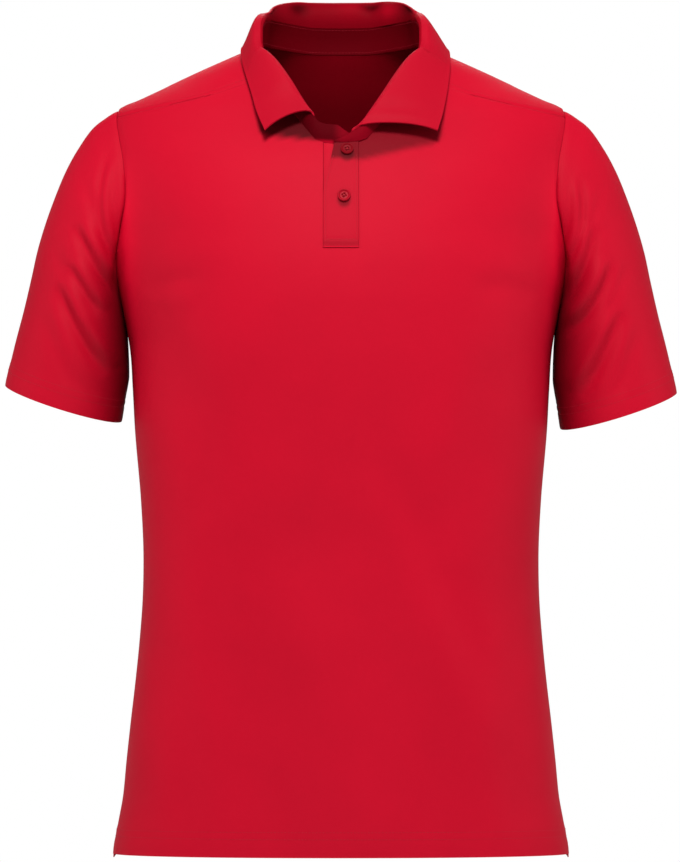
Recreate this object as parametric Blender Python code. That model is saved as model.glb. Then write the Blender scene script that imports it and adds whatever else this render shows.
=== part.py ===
"""A short-sleeved polo shirt, filled out as if worn, with nothing inside it.

The front of the shirt faces -Y, the wearer's left is +X and +Z is up. The origin lies between
the shoulders, at the height of the points where the shoulder meets the neck. All tables are in
millimetres and the meshes are in metres.

Each cloth piece is a wall: a grid of outer points, the same grid moved inwards by the wall's
thickness, and a rim that closes the two. Pieces that are sewn together are cut along one shared
line, so their edges run side by side with the seam gap between them.
"""

import math

import bpy
import numpy as np

MM = 0.001

# Driving sizes, in millimetres
WALL = 1.5              # thickness of the body and sleeve cloth
COLLAR_WALL = 1.8       # thickness of the collar cloth, which is faced
SEAM_GAP = 0.3          # room between two pieces that are sewn together
PLACKET_WIDTH = 31.0
LAP_END = {-1: -9.5, 1: -5.5}   # where the stand's lapped ends stop, past the centre
PLACKET_END = -184.5    # level of the placket's lower end
UNDERARM = -232.0       # level of the lowest point of the armhole
HEM = -709.5            # level of the hem at the front's centre
HEM_SIDE_DROP = 6.5     # how much lower it hangs at the sides
BACK_TAIL = 4.0         # how much longer the back is
VENT_GAP = 3.0          # how far apart the front and the back are at the foot of the side vent
BUTTONS = {"button_top": (5.2, -98.6), "button_lower": (2.6, -139.5)}
LEAF_START = 1          # the leaf's first column after each front end of the neckline
STAND_SWELL = 1.2       # how far the stand bows outwards halfway up
SPINE_HOLLOW = 3.5      # how far the back dips in along its middle
RED = (0.62, 0.006, 0.022, 1.0)
BUTTON_RED = (0.55, 0.008, 0.02, 1.0)

# Numbers of steps in the grids
COLUMNS = 12            # from the centre to the side, on each half of a panel
LOWER_ROWS = 15         # from the hem to the underarm
CHEST_ROWS = 3          # from the underarm to the placket's end
PLACKET_ROWS = 5        # beside the placket
NECK_ROWS = 7           # along the front neckline of each half
BACK_ROWS = 8           # from the underarm to the back neckline
NAPE_ROWS = 7           # along the back neckline of each half
SHOULDER_ROWS = 3       # from the top of the shoulder to the forward shoulder seam
SLEEVE_ROWS = 19
STAND_ROWS = 3
LAP_COLUMNS = 3         # in each lapped end of the stand
PLACKET_COLUMNS = 4
LEAF_RISE_ROWS = 4
LEAF_FALL_ROWS = 6

# The body, level by level: half the width, and where the front, the side and the back lie
BODY = np.array([
    # level   half  front  side  back  squareness
    [-716.0, 201.8, -121.0, -1.0, 127.0, 2.45],
    [-700.0, 199.4, -121.5, -1.0, 127.0, 2.45],
    [-684.0, 196.4, -122.0, -1.0, 127.0, 2.45],
    [-666.0, 193.0, -122.0, -1.0, 126.5, 2.45],
    [-634.0, 189.8, -122.5, -1.0, 125.0, 2.45],
    [-599.0, 186.0, -123.0, -1.0, 121.0, 2.45],
    [-563.0, 181.8, -123.0, -1.0, 115.0, 2.45],
    [-528.0, 178.3, -123.0, 0.0, 108.0, 2.45],
    [-492.0, 175.6, -122.5, 0.0, 102.0, 2.45],
    [-457.0, 174.8, -122.5, 0.0, 99.0, 2.45],
    [-404.0, 177.0, -124.0, 0.0, 101.0, 2.4],
    [-342.0, 182.3, -128.0, 1.0, 110.0, 2.4],
    [-306.0, 184.3, -130.5, 2.0, 116.5, 2.35],
    [-270.0, 186.8, -132.0, 3.0, 121.5, 2.3],
    [-232.0, 194.0, -131.5, 4.0, 124.5, 2.2],
    [-210.0, 199.0, -129.5, 4.0, 125.0, 2.15],
    [-190.0, 203.5, -126.5, 4.0, 124.5, 2.1],
    [-165.0, 209.0, -120.5, 4.0, 122.0, 2.0],
    [-135.0, 213.0, -110.0, 4.0, 117.0, 2.0],
    [-110.0, 214.0, -98.5, 4.0, 110.0, 2.0],
    [-88.0, 211.0, -84.5, 4.0, 101.5, 2.0],
    [-70.0, 205.5, -70.5, 4.0, 92.5, 2.0],
    [-57.7, 198.5, -60.5, 4.5, 86.0, 2.0],
    [-47.0, 178.5, -52.0, 5.0, 80.5, 2.0],
    [-36.4, 154.8, -44.0, 6.0, 75.5, 2.0],
    [-25.7, 132.4, -37.0, 7.0, 71.0, 2.0],
    [-15.1, 109.2, -31.0, 8.0, 66.5, 2.0],
    [-5.0, 86.0, -25.5, 9.0, 62.5, 2.0],
    [2.0, 68.0, -22.0, 9.0, 60.0, 2.0],
])

# The armhole seam seen from the front, from the underarm to the top of the shoulder
ARMHOLE = np.array([
    # level  front  back
    [-232.0, 194.0, 194.0],
    [-222.0, 195.6, 195.4],
    [-208.0, 197.6, 195.5],
    [-190.0, 198.4, 192.5],
    [-165.0, 194.0, 187.5],
    [-135.0, 189.6, 184.5],
    [-105.0, 191.6, 186.5],
    [-82.0, 196.0, 192.0],
    [-64.5, 198.8, 197.2],
    [-58.6, 198.0, 198.0],
])

# The front neckline, from the top of the shoulder to the placket
NECK_FRONT = np.array([
    # level   half
    [0.4, 71.5],
    [-10.0, 74.0],
    [-22.0, 74.0],
    [-33.0, 71.2],
    [-53.0, 61.0],
    [-70.0, 47.5],
    [-82.5, 33.0],
    [-89.5, 20.0],
    [-91.0, 15.8],
])

# The back neckline, from the centre to the top of the shoulder
NECK_BACK = np.array([
    # half   level
    [0.0, -3.5],
    [26.0, -3.2],
    [50.0, -1.8],
    [66.0, -0.4],
    [71.5, 0.4],
])

# The forward shoulder seam, from the neckline to the armhole
SHOULDER_SEAM = np.array([
    # half   level
    [71.2, -33.0],
    [88.0, -37.5],
    [116.0, -47.0],
    [154.0, -56.0],
    [178.0, -60.5],
    [198.8, -64.5],
])

# The sleeve, from the armhole to the cuff: its outer and inner lines, depth and middle
SLEEVE = np.array([
    # place  outer x  outer z  inner x  inner z  depth  middle y
    [0.00, 198.0, -58.6, 194.0, -232.0, 58.0, 4.0],
    [0.10, 218.5, -72.0, 192.8, -238.5, 60.0, 6.0],
    [0.20, 233.0, -91.0, 191.4, -245.5, 62.0, 8.0],
    [0.30, 244.5, -111.5, 190.2, -254.0, 63.5, 9.0],
    [0.40, 254.0, -134.0, 189.4, -263.0, 63.5, 9.5],
    [0.50, 262.5, -157.5, 188.9, -272.5, 62.5, 9.5],
    [0.60, 269.6, -181.5, 188.5, -282.0, 60.5, 9.0],
    [0.70, 275.2, -207.0, 188.3, -292.5, 58.0, 8.0],
    [0.80, 281.6, -234.5, 189.6, -303.0, 55.5, 7.0],
    [0.90, 289.8, -266.0, 192.6, -318.0, 53.5, 6.0],
    [1.00, 298.0, -301.0, 195.0, -333.5, 52.0, 5.0],
])

CUFF_DIP = 6.0                  # how far the cuff's front hangs below its sides
CUFF_DROP = {-1: 0.0, 1: 6.5}   # how much lower each sleeve's cuff hangs

# The largest folds of the sleeves, seen from the front: three points, depth and breadth.
# The side is -1 for the wearer's right sleeve and 1 for the left one.
SLEEVE_FOLDS = np.array([
    # side  x1    z1    x2    z2    x3    z3  depth breadth
    [-1, 233.0, -162.0, 217.0, -193.0, 194.0, -225.0, 2.6, 11.0],
    [-1, 239.0, -195.0, 226.0, -217.0, 212.0, -240.0, 2.2, 10.0],
    [-1, 250.0, -212.0, 230.0, -255.0, 205.0, -292.0, 3.6, 12.0],
    [1, 222.0, -150.0, 213.0, -186.0, 195.0, -228.0, 2.4, 11.0],
    [1, 240.0, -174.0, 226.0, -206.0, 193.0, -258.0, 3.2, 12.0],
    [1, 248.0, -213.0, 234.0, -250.0, 211.0, -300.0, 3.4, 12.0],
])

# The collar by station, from the front end (0) to the middle of the back (1): the height of the
# stand, its lean inwards, and the roll's height and outward reach over the stand
COLLAR = np.array([
    # station  stand  lean  roll up  roll out
    [0.00, 16.5, 3.0, 5.6, 5.6],
    [0.15, 17.5, 3.5, 5.8, 6.0],
    [0.35, 21.5, 3.8, 6.5, 6.5],
    [0.52, 23.0, 3.5, 6.0, 6.5],
    [0.62, 22.5, 4.5, 5.5, 5.5],
    [0.70, 23.0, 4.0, 11.0, 5.5],
    [0.78, 23.5, 3.0, 19.0, 6.0],
    [0.86, 23.5, 2.5, 23.0, 7.0],
    [1.00, 23.5, 2.5, 24.0, 8.5],
])

# The share of its height that the stand keeps towards each lapped end, by how far from the centre
STAND_TOP = np.array([
    # across  right  left
    [-9.5, 0.45, 0.10],
    [-2.5, 0.75, 0.18],
    [4.0, 1.00, 0.36],
    [8.5, 1.00, 0.50],
    [22.0, 1.00, 1.00],
])

# The leaf's outer edge over the body, by station: how far from the centre on the wearer's right
# and left, its level, and whether it lies over the front (1) or the back (0)
LEAF_EDGE = np.array([
    # station  right  left  level  front
    [0.00, 63.0, 80.5, -84.0, 1],
    [0.12, 71.5, 87.0, -66.5, 1],
    [0.24, 78.0, 92.0, -48.0, 1],
    [0.35, 83.5, 94.5, -30.0, 1],
    [0.44, 86.0, 95.0, -19.5, 1],
    [0.52, 87.0, 94.5, -11.5, 1],
    [0.59, 86.0, 93.0, -7.6, 1],
    [0.66, 82.0, 88.0, -7.6, 0],
    [0.73, 74.0, 79.0, -11.0, 0],
    [0.80, 60.0, 64.0, -16.0, 0],
    [0.87, 42.0, 44.0, -20.5, 0],
    [0.94, 21.0, 21.5, -23.5, 0],
    [1.00, 0.0, 0.0, -24.5, 0],
])
LEAF_LIFT = 5.2         # how far the leaf's edge lies over the body's cloth

# The lapped edge of the placket's upper band, which springs open towards the collar
PLACKET_EDGE = np.array([
    # level   edge
    [-184.5, -15.2],
    [-138.0, -15.2],
    [-119.0, -12.4],
    [-106.0, -9.0],
    [-91.0, -5.8],
])

# A button's outline, from the middle of its face over the rim to the middle of its back
BUTTON_PROFILE = np.array([
    # radius  height
    [3.2, 1.0],
    [3.9, 1.2],
    [4.4, 2.1],
    [5.0, 2.4],
    [5.6, 1.9],
    [5.7, 1.2],
    [5.1, 0.2],
    [4.4, 0.0],
])
BUTTON_SIDES = 20


def smooth(table_x, table_y, x):
    """A curve through the table's points that never swings past them."""
    table_x = np.asarray(table_x, float)
    table_y = np.asarray(table_y, float)
    if table_x[0] > table_x[-1]:
        table_x = table_x[::-1]
        table_y = table_y[::-1]
    x = np.clip(x, table_x[0], table_x[-1])
    step = np.diff(table_x)
    slope = np.diff(table_y) / step
    tangent = np.concatenate([slope[:1], (slope[1:] + slope[:-1]) / 2, slope[-1:]])
    flat = slope[1:] * slope[:-1] <= 0
    tangent[1:-1][flat] = 0
    low = 3 * np.minimum(np.abs(slope[1:]), np.abs(slope[:-1]))
    tangent[1:-1] = np.clip(tangent[1:-1], -low, low)
    cell = np.clip(np.searchsorted(table_x, x, side="right") - 1, 0, len(step) - 1)
    t = (x - table_x[cell]) / step[cell]
    start = (1 + 2 * t) * (1 - t) ** 2 * table_y[cell]
    end = t * t * (3 - 2 * t) * table_y[cell + 1]
    leave = t * (1 - t) ** 2 * step[cell] * tangent[cell]
    arrive = t * t * (t - 1) * step[cell] * tangent[cell + 1]
    return start + end + leave + arrive


def column(table, place, x):
    """Another column of a table, read at x of its first column."""
    return smooth(table[:, 0], table[:, place], x)


def unit(vectors):
    length = np.linalg.norm(vectors, axis=-1, keepdims=True)
    return vectors / np.maximum(length, 1e-9)


def body_y(x, z, front):
    """Where the body's surface lies at x and z, on its front or on its back."""
    half = column(BODY, 1, z)
    middle = column(BODY, 3, z)
    power = column(BODY, 5, z)
    share = np.clip(np.abs(x) / half, 0, 1)
    bow = (1 - share ** power) ** (1 / power)
    if front:
        return middle + (column(BODY, 2, z) - middle) * bow
    spine = SPINE_HOLLOW * np.exp(-(x / 22.0) ** 2) * np.clip((-z - 60) / 120, 0, 1)
    return middle + (column(BODY, 4, z) - middle) * bow - spine


def body_point(x, z, front):
    x, z = np.broadcast_arrays(np.asarray(x, float), np.asarray(z, float))
    return np.stack([x, body_y(x, z, front), z], axis=-1)


def resample(points, count):
    """count + 1 points at even distances along a line of points."""
    along = np.concatenate([[0], np.cumsum(np.linalg.norm(np.diff(points, axis=0), axis=1))])
    at = np.linspace(0, along[-1], count + 1)
    return np.stack([np.interp(at, along, points[:, k]) for k in range(points.shape[1])], axis=1)


def row_between(start, end, bow, count, front):
    """A row of the body's surface, from start to end in x and z, with the bow's extra height."""
    even = np.linspace(0, 1, 240)
    share = 1 - (1 - even) ** 2
    x = start[0] + (end[0] - start[0]) * share
    z = start[1] + (end[1] - start[1]) * share
    if bow is not None:
        z = z + bow[0] * (column(bow[1], 1, x) - z)
    return resample(body_point(x, z, front), count)


def neckline_front():
    """The front neckline in x and z, from the placket to the forward shoulder seam."""
    z = np.linspace(NECK_FRONT[-1, 0], SHOULDER_SEAM[0, 1], 200)
    return resample(body_point(column(NECK_FRONT, 1, z), z, True), NECK_ROWS)


def armhole_line(side, top, count):
    """The armhole seam on the front (1) or the back (2), from the underarm to the top level."""
    z = np.linspace(UNDERARM, top, 300)
    return resample(body_point(column(ARMHOLE, side, z), z, side == 1), count)


def hem_drop(share, front):
    """How far the hem hangs below its level, by the share of the way from the centre to the side."""
    return HEM_SIDE_DROP * share ** 2 + (0.0 if front else BACK_TAIL)


def lower_rows(front):
    """The rows from the hem to the underarm, on the wearer's left half."""
    start = PLACKET_WIDTH / 2 if front else 0.0
    even = np.linspace(0, 1, 240)
    rows = []
    for place, level in enumerate(np.linspace(HEM, UNDERARM, LOWER_ROWS + 1)):
        sink = hem_drop(even, front) if place == 0 else 0.0 * even
        share = 1 - (1 - even) ** 2
        half = column(BODY, 1, level - sink[-1])
        x = start + (half - start) * share
        rows.append(resample(body_point(x, level - sink, front), COLUMNS))
    return rows


def front_half():
    """The front's left half: rows of points from the hem to the forward shoulder seam."""
    rows = lower_rows(True)
    neck = neckline_front()
    inner = [(PLACKET_WIDTH / 2, z) for z in np.linspace(UNDERARM, PLACKET_END, CHEST_ROWS + 1)[1:]]
    neck_level = neck[0, 2]
    inner += [(PLACKET_WIDTH / 2, z) for z in np.linspace(PLACKET_END, neck_level, PLACKET_ROWS + 1)[1:]]
    inner += [(p[0], p[2]) for p in neck[1:]]
    arm = armhole_line(1, SHOULDER_SEAM[-1, 1], len(inner))
    for place, start in enumerate(inner):
        end = (arm[place + 1, 0], arm[place + 1, 2])
        raised = max(0.0, (place + 1) / len(inner) - 0.6) / 0.4
        rows.append(row_between(start, end, (raised, SHOULDER_SEAM), COLUMNS, True))
        rows[-1][-1] = arm[place + 1]
    return np.array(rows)


def shoulder_top(x):
    """The level of the top of the shoulder at x."""
    ridge = BODY[-9:]
    return smooth(ridge[:, 1], ridge[:, 0], x)


def back_half():
    """The back's left half, from the hem over the shoulder to the forward shoulder seam."""
    rows = lower_rows(False)
    inner = [(0.0, z) for z in np.linspace(UNDERARM, NECK_BACK[0, 1], BACK_ROWS + 1)[1:]]
    x = np.linspace(0, NECK_BACK[-1, 0], 200)
    nape = resample(body_point(x, column(NECK_BACK, 1, x), False), NAPE_ROWS)
    inner += [(p[0], p[2]) for p in nape[1:]]
    arm = armhole_line(2, ARMHOLE[-1, 0], len(inner))
    for place, start in enumerate(inner):
        end = (arm[place + 1, 0], arm[place + 1, 2])
        raised = max(0.0, (place + 1) / len(inner) - 0.7) / 0.3
        ridge = np.stack([BODY[-9:, 1][::-1], BODY[-9:, 0][::-1]], axis=1)
        rows.append(row_between(start, end, (raised, ridge), COLUMNS, False))
        rows[-1][-1] = arm[place + 1]
    even = np.linspace(0, 1, 240)
    for step in range(1, SHOULDER_ROWS + 1):
        fall = (step / SHOULDER_ROWS) ** 1.6
        neck_z = NECK_FRONT[0, 0] + fall * (SHOULDER_SEAM[0, 1] - NECK_FRONT[0, 0])
        arm_z = ARMHOLE[-1, 0] + fall * (SHOULDER_SEAM[-1, 1] - ARMHOLE[-1, 0])
        neck_x = column(NECK_FRONT, 1, neck_z)
        arm_x = column(ARMHOLE, 1, arm_z)
        x = neck_x + (arm_x - neck_x) * even
        z = shoulder_top(x) * (1 - fall) + column(SHOULDER_SEAM, 1, x) * fall
        rows.append(resample(body_point(x, z, True), COLUMNS))
    return np.array(rows)


def mirrored(grid):
    """The same grid on the wearer's right, with its columns still running from right to left."""
    return grid[:, ::-1] * np.array([-1.0, 1.0, 1.0])


def normals(grid, sign, ring=False):
    """The way out of the surface at each point of a grid, where rows and columns cross."""
    if ring:
        wide = np.concatenate([grid[:, -1:], grid, grid[:, :1]], axis=1)
        across = np.gradient(wide, axis=1)[:, 1:-1]
    else:
        across = np.gradient(grid, axis=1)
    return unit(np.cross(across, np.gradient(grid, axis=0))) * sign


def seam_side(line, way_out, towards):
    """Square to a seam and in the surface, pointing to the side that towards points to."""
    side = unit(np.cross(np.gradient(line, axis=0), way_out))
    return side * np.where(np.sum(side * towards, axis=-1, keepdims=True) < 0, -1.0, 1.0)


def cloth(name, colour, roughness):
    material = bpy.data.materials.new(name)
    material.use_nodes = True
    shader = material.node_tree.nodes["Principled BSDF"]
    shader.inputs["Base Color"].default_value = colour
    shader.inputs["Roughness"].default_value = roughness
    shader.inputs["Metallic"].default_value = 0.0
    return material


def solid(name, points, faces, colour, roughness=0.85):
    """An object of the given points, in millimetres, with its faces turned outwards."""
    points = np.asarray(points) * MM
    volume = 0.0
    for face in faces:
        first = points[face[0]]
        for second, third in zip(face[1:-1], face[2:]):
            volume += np.dot(first, np.cross(points[second], points[third]))
    if volume < 0:
        faces = [face[::-1] for face in faces]
    mesh = bpy.data.meshes.new(name)
    mesh.from_pydata(points.tolist(), [], faces)
    mesh.validate()
    mesh.shade_smooth()
    mesh.set_sharp_from_angle(angle=math.radians(50))
    mesh.materials.append(cloth(name + "_cloth", colour, roughness))
    thing = bpy.data.objects.new(name, mesh)
    bpy.context.scene.collection.objects.link(thing)
    return thing


def wall(name, grid, way_out, thickness, colour, keep=None, ring=False):
    """A closed wall: the grid of outer points, the same moved inwards, and the rim between.

    Grid points that fall on one place are one point, so two halves join along their middle.
    """
    rows, columns = grid.shape[:2]
    count = rows * columns
    points = np.concatenate([grid.reshape(-1, 3), (grid - way_out * thickness).reshape(-1, 3)])
    places = np.round(grid.reshape(-1, 3), 3)
    _, first, same = np.unique(places, axis=0, return_index=True, return_inverse=True)
    one = first[same.reshape(-1)]
    across = columns if ring else columns - 1
    if keep is None:
        keep = np.ones((rows - 1, across), bool)
    faces = []
    edges = {}
    for r, c in zip(*np.nonzero(keep)):
        here, beside = r * columns + c, r * columns + (c + 1) % columns
        a, b, d, e = (int(one[i]) for i in (here, beside, here + columns, beside + columns))
        faces += [[a, b, e], [a, e, d]]
        faces += [[e + count, b + count, a + count], [d + count, e + count, a + count]]
        for edge in ((a, b), (b, e), (e, d), (d, a)):
            if edge[::-1] in edges:
                del edges[edge[::-1]]
            else:
                edges[edge] = True
    for a, b in edges:
        faces.append([b, a, a + count, b + count])
    used = sorted({i for face in faces for i in face})
    place = {old: new for new, old in enumerate(used)}
    faces = [[place[i] for i in face] for face in faces]
    return solid(name, points[used], faces, colour)


def sleeve_base(loop, top):
    """The sleeve's rings: the armhole's own line, turning into ovals down to the cuff."""
    along = np.concatenate([[0], np.cumsum(np.linalg.norm(np.diff(loop, axis=0), axis=1))])
    whole = along[-1] + np.linalg.norm(loop[0] - loop[-1])
    turn = np.where(along <= along[top], np.pi * (1 - along / along[top]),
                    -np.pi * (along - along[top]) / (whole - along[top]))
    place = np.linspace(0, 1, SLEEVE_ROWS + 1)[:, None]
    outer = np.stack([column(SLEEVE, 1, place), 0 * place, column(SLEEVE, 2, place)], axis=-1)
    inner = np.stack([column(SLEEVE, 3, place), 0 * place, column(SLEEVE, 4, place)], axis=-1)
    middle = column(SLEEVE, 6, place)[..., None] * np.array([0.0, 1.0, 0.0])
    depth = column(SLEEVE, 5, place)[..., None] * np.array([0.0, -1.0, 0.0])
    cosine = np.cos(turn)[None, :, None]
    sine = np.sin(turn)[None, :, None]
    rings = (outer + inner) / 2 + middle + (outer - inner) / 2 * cosine + depth * sine
    rings[..., 2] -= CUFF_DIP * np.maximum(np.sin(turn), 0)[None, :] * place ** 2
    return rings + (loop - rings[0]) * ((1 - place) ** 3)[..., None]


def sleeve_folds(rings, way_out, side):
    """Soft troughs with a ridge above each, on the front of one sleeve and fainter on its back."""
    seen = np.abs(rings[..., 0]), rings[..., 2]
    place = np.linspace(0, 1, len(rings))[:, None]
    fade = np.clip(place / 0.18, 0, 1) * np.clip((1 - place) / 0.15, 0, 1)
    facing = np.where(way_out[..., 1] < 0, 1.0, 0.45) * np.clip(np.abs(way_out[..., 1]) * 1.6, 0, 1)
    shift = np.zeros(rings.shape[:2])
    for fold in SLEEVE_FOLDS[SLEEVE_FOLDS[:, 0] == side]:
        start, bend, end = fold[1:3], fold[3:5], fold[5:7]
        t = np.linspace(0, 1, 30)[:, None]
        line = (1 - t) ** 2 * start + 2 * t * (1 - t) * (2 * bend - (start + end) / 2) + t * t * end
        across = np.stack([seen[0][..., None] - line[:, 0], seen[1][..., None] - line[:, 1]], axis=-1)
        away = np.linalg.norm(across, axis=-1)
        near = np.argmin(away, axis=-1)
        heading = np.gradient(line, axis=0)[near]
        gap = np.take_along_axis(across, near[..., None, None], axis=2)[..., 0, :]
        signed = np.sign(heading[..., 0] * gap[..., 1] - heading[..., 1] * gap[..., 0])
        over = signed * np.min(away, axis=-1) / fold[8]
        ends = np.clip(np.minimum(near, 29 - near) / 6.0, 0, 1)
        shift += fold[7] * ends * (0.7 * np.exp(-(over + 0.95) ** 2 / 0.5) - np.exp(-over ** 2 / 0.35))
    return rings + way_out * (shift * fade * facing)[..., None]


def neck_level(x):
    """The neckline's level across the placket."""
    return NECK_FRONT[-1, 0] - 1.2 * (1 - (x / (PLACKET_WIDTH / 2)) ** 2)


def lapped_end(end):
    """The neckline's points across the placket, from the lapped end to the placket's edge."""
    x = np.linspace(end, PLACKET_WIDTH / 2, LAP_COLUMNS + 1)[:-1]
    return body_point(x, neck_level(x), True)


def station_of(line):
    """How far along the neckline each point of a half lies: 0 at the placket, 1 at the back."""
    along = np.concatenate([[0], np.cumsum(np.linalg.norm(np.diff(line, axis=0), axis=1))])
    return along / along[-1]


def lap_step(thickness):
    """How far a lapped layer's outer face lies over or under the body's surface."""
    return (thickness + SEAM_GAP) / 2 + 0.1


def body_normal(x, z, front):
    """The way out of the body's surface at x and z."""
    step = 0.5
    across = body_point(x + step, z, front) - body_point(x - step, z, front)
    rise = body_point(x, z + step, front) - body_point(x, z - step, front)
    return unit(np.cross(across, rise)) * (1 if front else -1)


def hermite(start, leave, end, arrive, count):
    """count + 1 points of a curve between two points with the given headings."""
    t = np.linspace(0, 1, count + 1)[:, None, None]
    return ((1 + 2 * t) * (1 - t) ** 2 * start + t * (1 - t) ** 2 * leave
            + t * t * (3 - 2 * t) * end + t * t * (t - 1) * arrive)


def cut_panels():
    """The front's and back's left halves with their ways out, and the sleeve that meets them."""
    front, back = front_half(), back_half()
    back[-1] = front[-1]
    front_out, back_out = normals(front, 1), normals(back, -1)
    side = slice(0, LOWER_ROWS + 1)
    front_out[side, -1] = back_out[side, -1] = unit(front_out[side, -1] + back_out[side, -1])
    front_out[-1] = back_out[-1] = unit(front_out[-1] + back_out[-1])

    rise = len(front) - LOWER_ROWS
    loop = np.concatenate([front[LOWER_ROWS:, -1], back[LOWER_ROWS + 1:-1, -1][::-1]])
    body_out = np.concatenate([front_out[LOWER_ROWS:, -1], back_out[LOWER_ROWS + 1:-1, -1][::-1]])
    sleeve = sleeve_base(loop, rise - 1 + SHOULDER_ROWS)
    sleeve_out = normals(sleeve, -1, ring=True)
    shared = unit(body_out + sleeve_out[0])
    front_out[LOWER_ROWS:, -1] = shared[:rise]
    back_out[LOWER_ROWS + 1:-1, -1] = shared[rise:][::-1]
    back_out[LOWER_ROWS, -1] = shared[0]
    back_out[-1, -1] = shared[rise - 1]
    around = np.concatenate([loop[-1:], loop, loop[:1]])
    apart = unit(np.cross(np.gradient(around, axis=0)[1:-1], shared))
    apart *= np.where(apart[:, :1] < 0, -1.0, 1.0) * SEAM_GAP / 2

    sleeve[0] += apart
    front_cut, back_cut = np.zeros_like(front), np.zeros_like(back)
    front_cut[LOWER_ROWS:, -1] -= apart[:rise]
    back_cut[LOWER_ROWS + 1:-1, -1] -= apart[rise:][::-1]
    back_cut[LOWER_ROWS, -1] -= apart[0]
    back_cut[-1, -1] -= apart[rise - 1]
    half_gap = np.full(LOWER_ROWS + 1, SEAM_GAP / 2)
    half_gap[0] = VENT_GAP / 2
    front_cut[side, -1, 1] -= half_gap
    back_cut[side, -1, 1] += half_gap
    fall = seam_side(front[-1], front_out[-1], front[-2] - front[-1]) * SEAM_GAP / 2
    front_cut[-1] += fall
    back_cut[-1] -= fall
    return front, back, front_out, back_out, front_cut, back_cut, sleeve, shared


def lay_stand(front, back, front_out, back_out, front_cut, back_cut):
    """The collar stand's grid from the wearer's right end, round the back, to the left end."""
    first = LOWER_ROWS + CHEST_ROWS + PLACKET_ROWS
    nape = slice(LOWER_ROWS + BACK_ROWS, -1)
    neck = np.concatenate([front[first:, 0], back[nape, 0][::-1]])
    neck_out = np.concatenate([front_out[first:, 0], back_out[nape, 0][::-1]])
    station = np.concatenate([np.zeros(LAP_COLUMNS), station_of(neck)])
    ramp = np.ones(len(station))
    ramp[LAP_COLUMNS + 1] = 0.4
    ramp[LAP_COLUMNS + 2:] = 0.0
    share = np.linspace(0, 1, STAND_ROWS + 1)[:, None, None]
    up = np.array([0.0, 0.0, 1.0])
    halves = {}
    for side, place in ((-1, 1), (1, 2)):
        line = np.concatenate([lapped_end(LAP_END[side]), neck])
        mirror = np.concatenate([line, line[-2::-1] * np.array([-1.0, 1.0, 1.0])])
        heading = np.gradient(mirror, axis=0)[:len(line)]
        outward = unit(np.cross(heading, up))
        from_middle = line - np.mean(mirror, axis=0)
        outward *= np.where(np.sum(outward * from_middle, axis=1, keepdims=True) < 0, -1.0, 1.0)
        across = np.where(station < 0.3, np.clip(line[:, 0], None, STAND_TOP[-1, 0]), STAND_TOP[-1, 0])
        kept = column(STAND_TOP, place, across)[:, None]
        rise = up * column(COLLAR, 1, station)[:, None] - outward * column(COLLAR, 2, station)[:, None]
        over = body_normal(line[:, 0], line[:, 2], True)
        lift = seam_side(line, outward, up) * SEAM_GAP / 2
        layer = over * (ramp * side * (lap_step(COLLAR_WALL) + 0.1))[:, None] + lift * ramp[:, None]
        swell = outward * (STAND_SWELL * np.sin(np.pi * share))
        half = line + lift + layer + (rise * share + swell) * kept
        halves[side] = half * np.array([float(side), 1.0, 1.0])
    grid = np.concatenate([halves[-1], halves[1][:, -2::-1]], axis=1)
    way_out = normals(grid, 1)
    if way_out[1, len(line) - 1, 1] < 0:
        way_out = -way_out
    for index in range(len(neck)):
        for side, place in ((-1, LAP_COLUMNS + index), (1, grid.shape[1] - 1 - LAP_COLUMNS - index)):
            own = neck_out[index] * np.array([float(side), 1.0, 1.0])
            way_out[0, place] = unit(own + way_out[0, place])
    common = way_out[0, LAP_COLUMNS:len(line)] * np.array([-1.0, 1.0, 1.0])
    rise_count = len(front) - first
    front_out[first:, 0] = common[:rise_count]
    back_out[nape, 0] = common[rise_count:][::-1]
    back_out[-1, 0] = common[rise_count - 1]
    lowered = lift[LAP_COLUMNS:]
    front_cut[first:, 0] -= lowered[:rise_count]
    back_cut[nape, 0] -= lowered[rise_count:][::-1]
    back_cut[-1, 0] -= lowered[rise_count - 1]
    ends = np.concatenate([station, station[-2::-1]])
    outwards = np.concatenate([outward * np.array([-1.0, 1.0, 1.0]), outward[-2::-1]])
    return grid, way_out, ends, outwards


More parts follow.
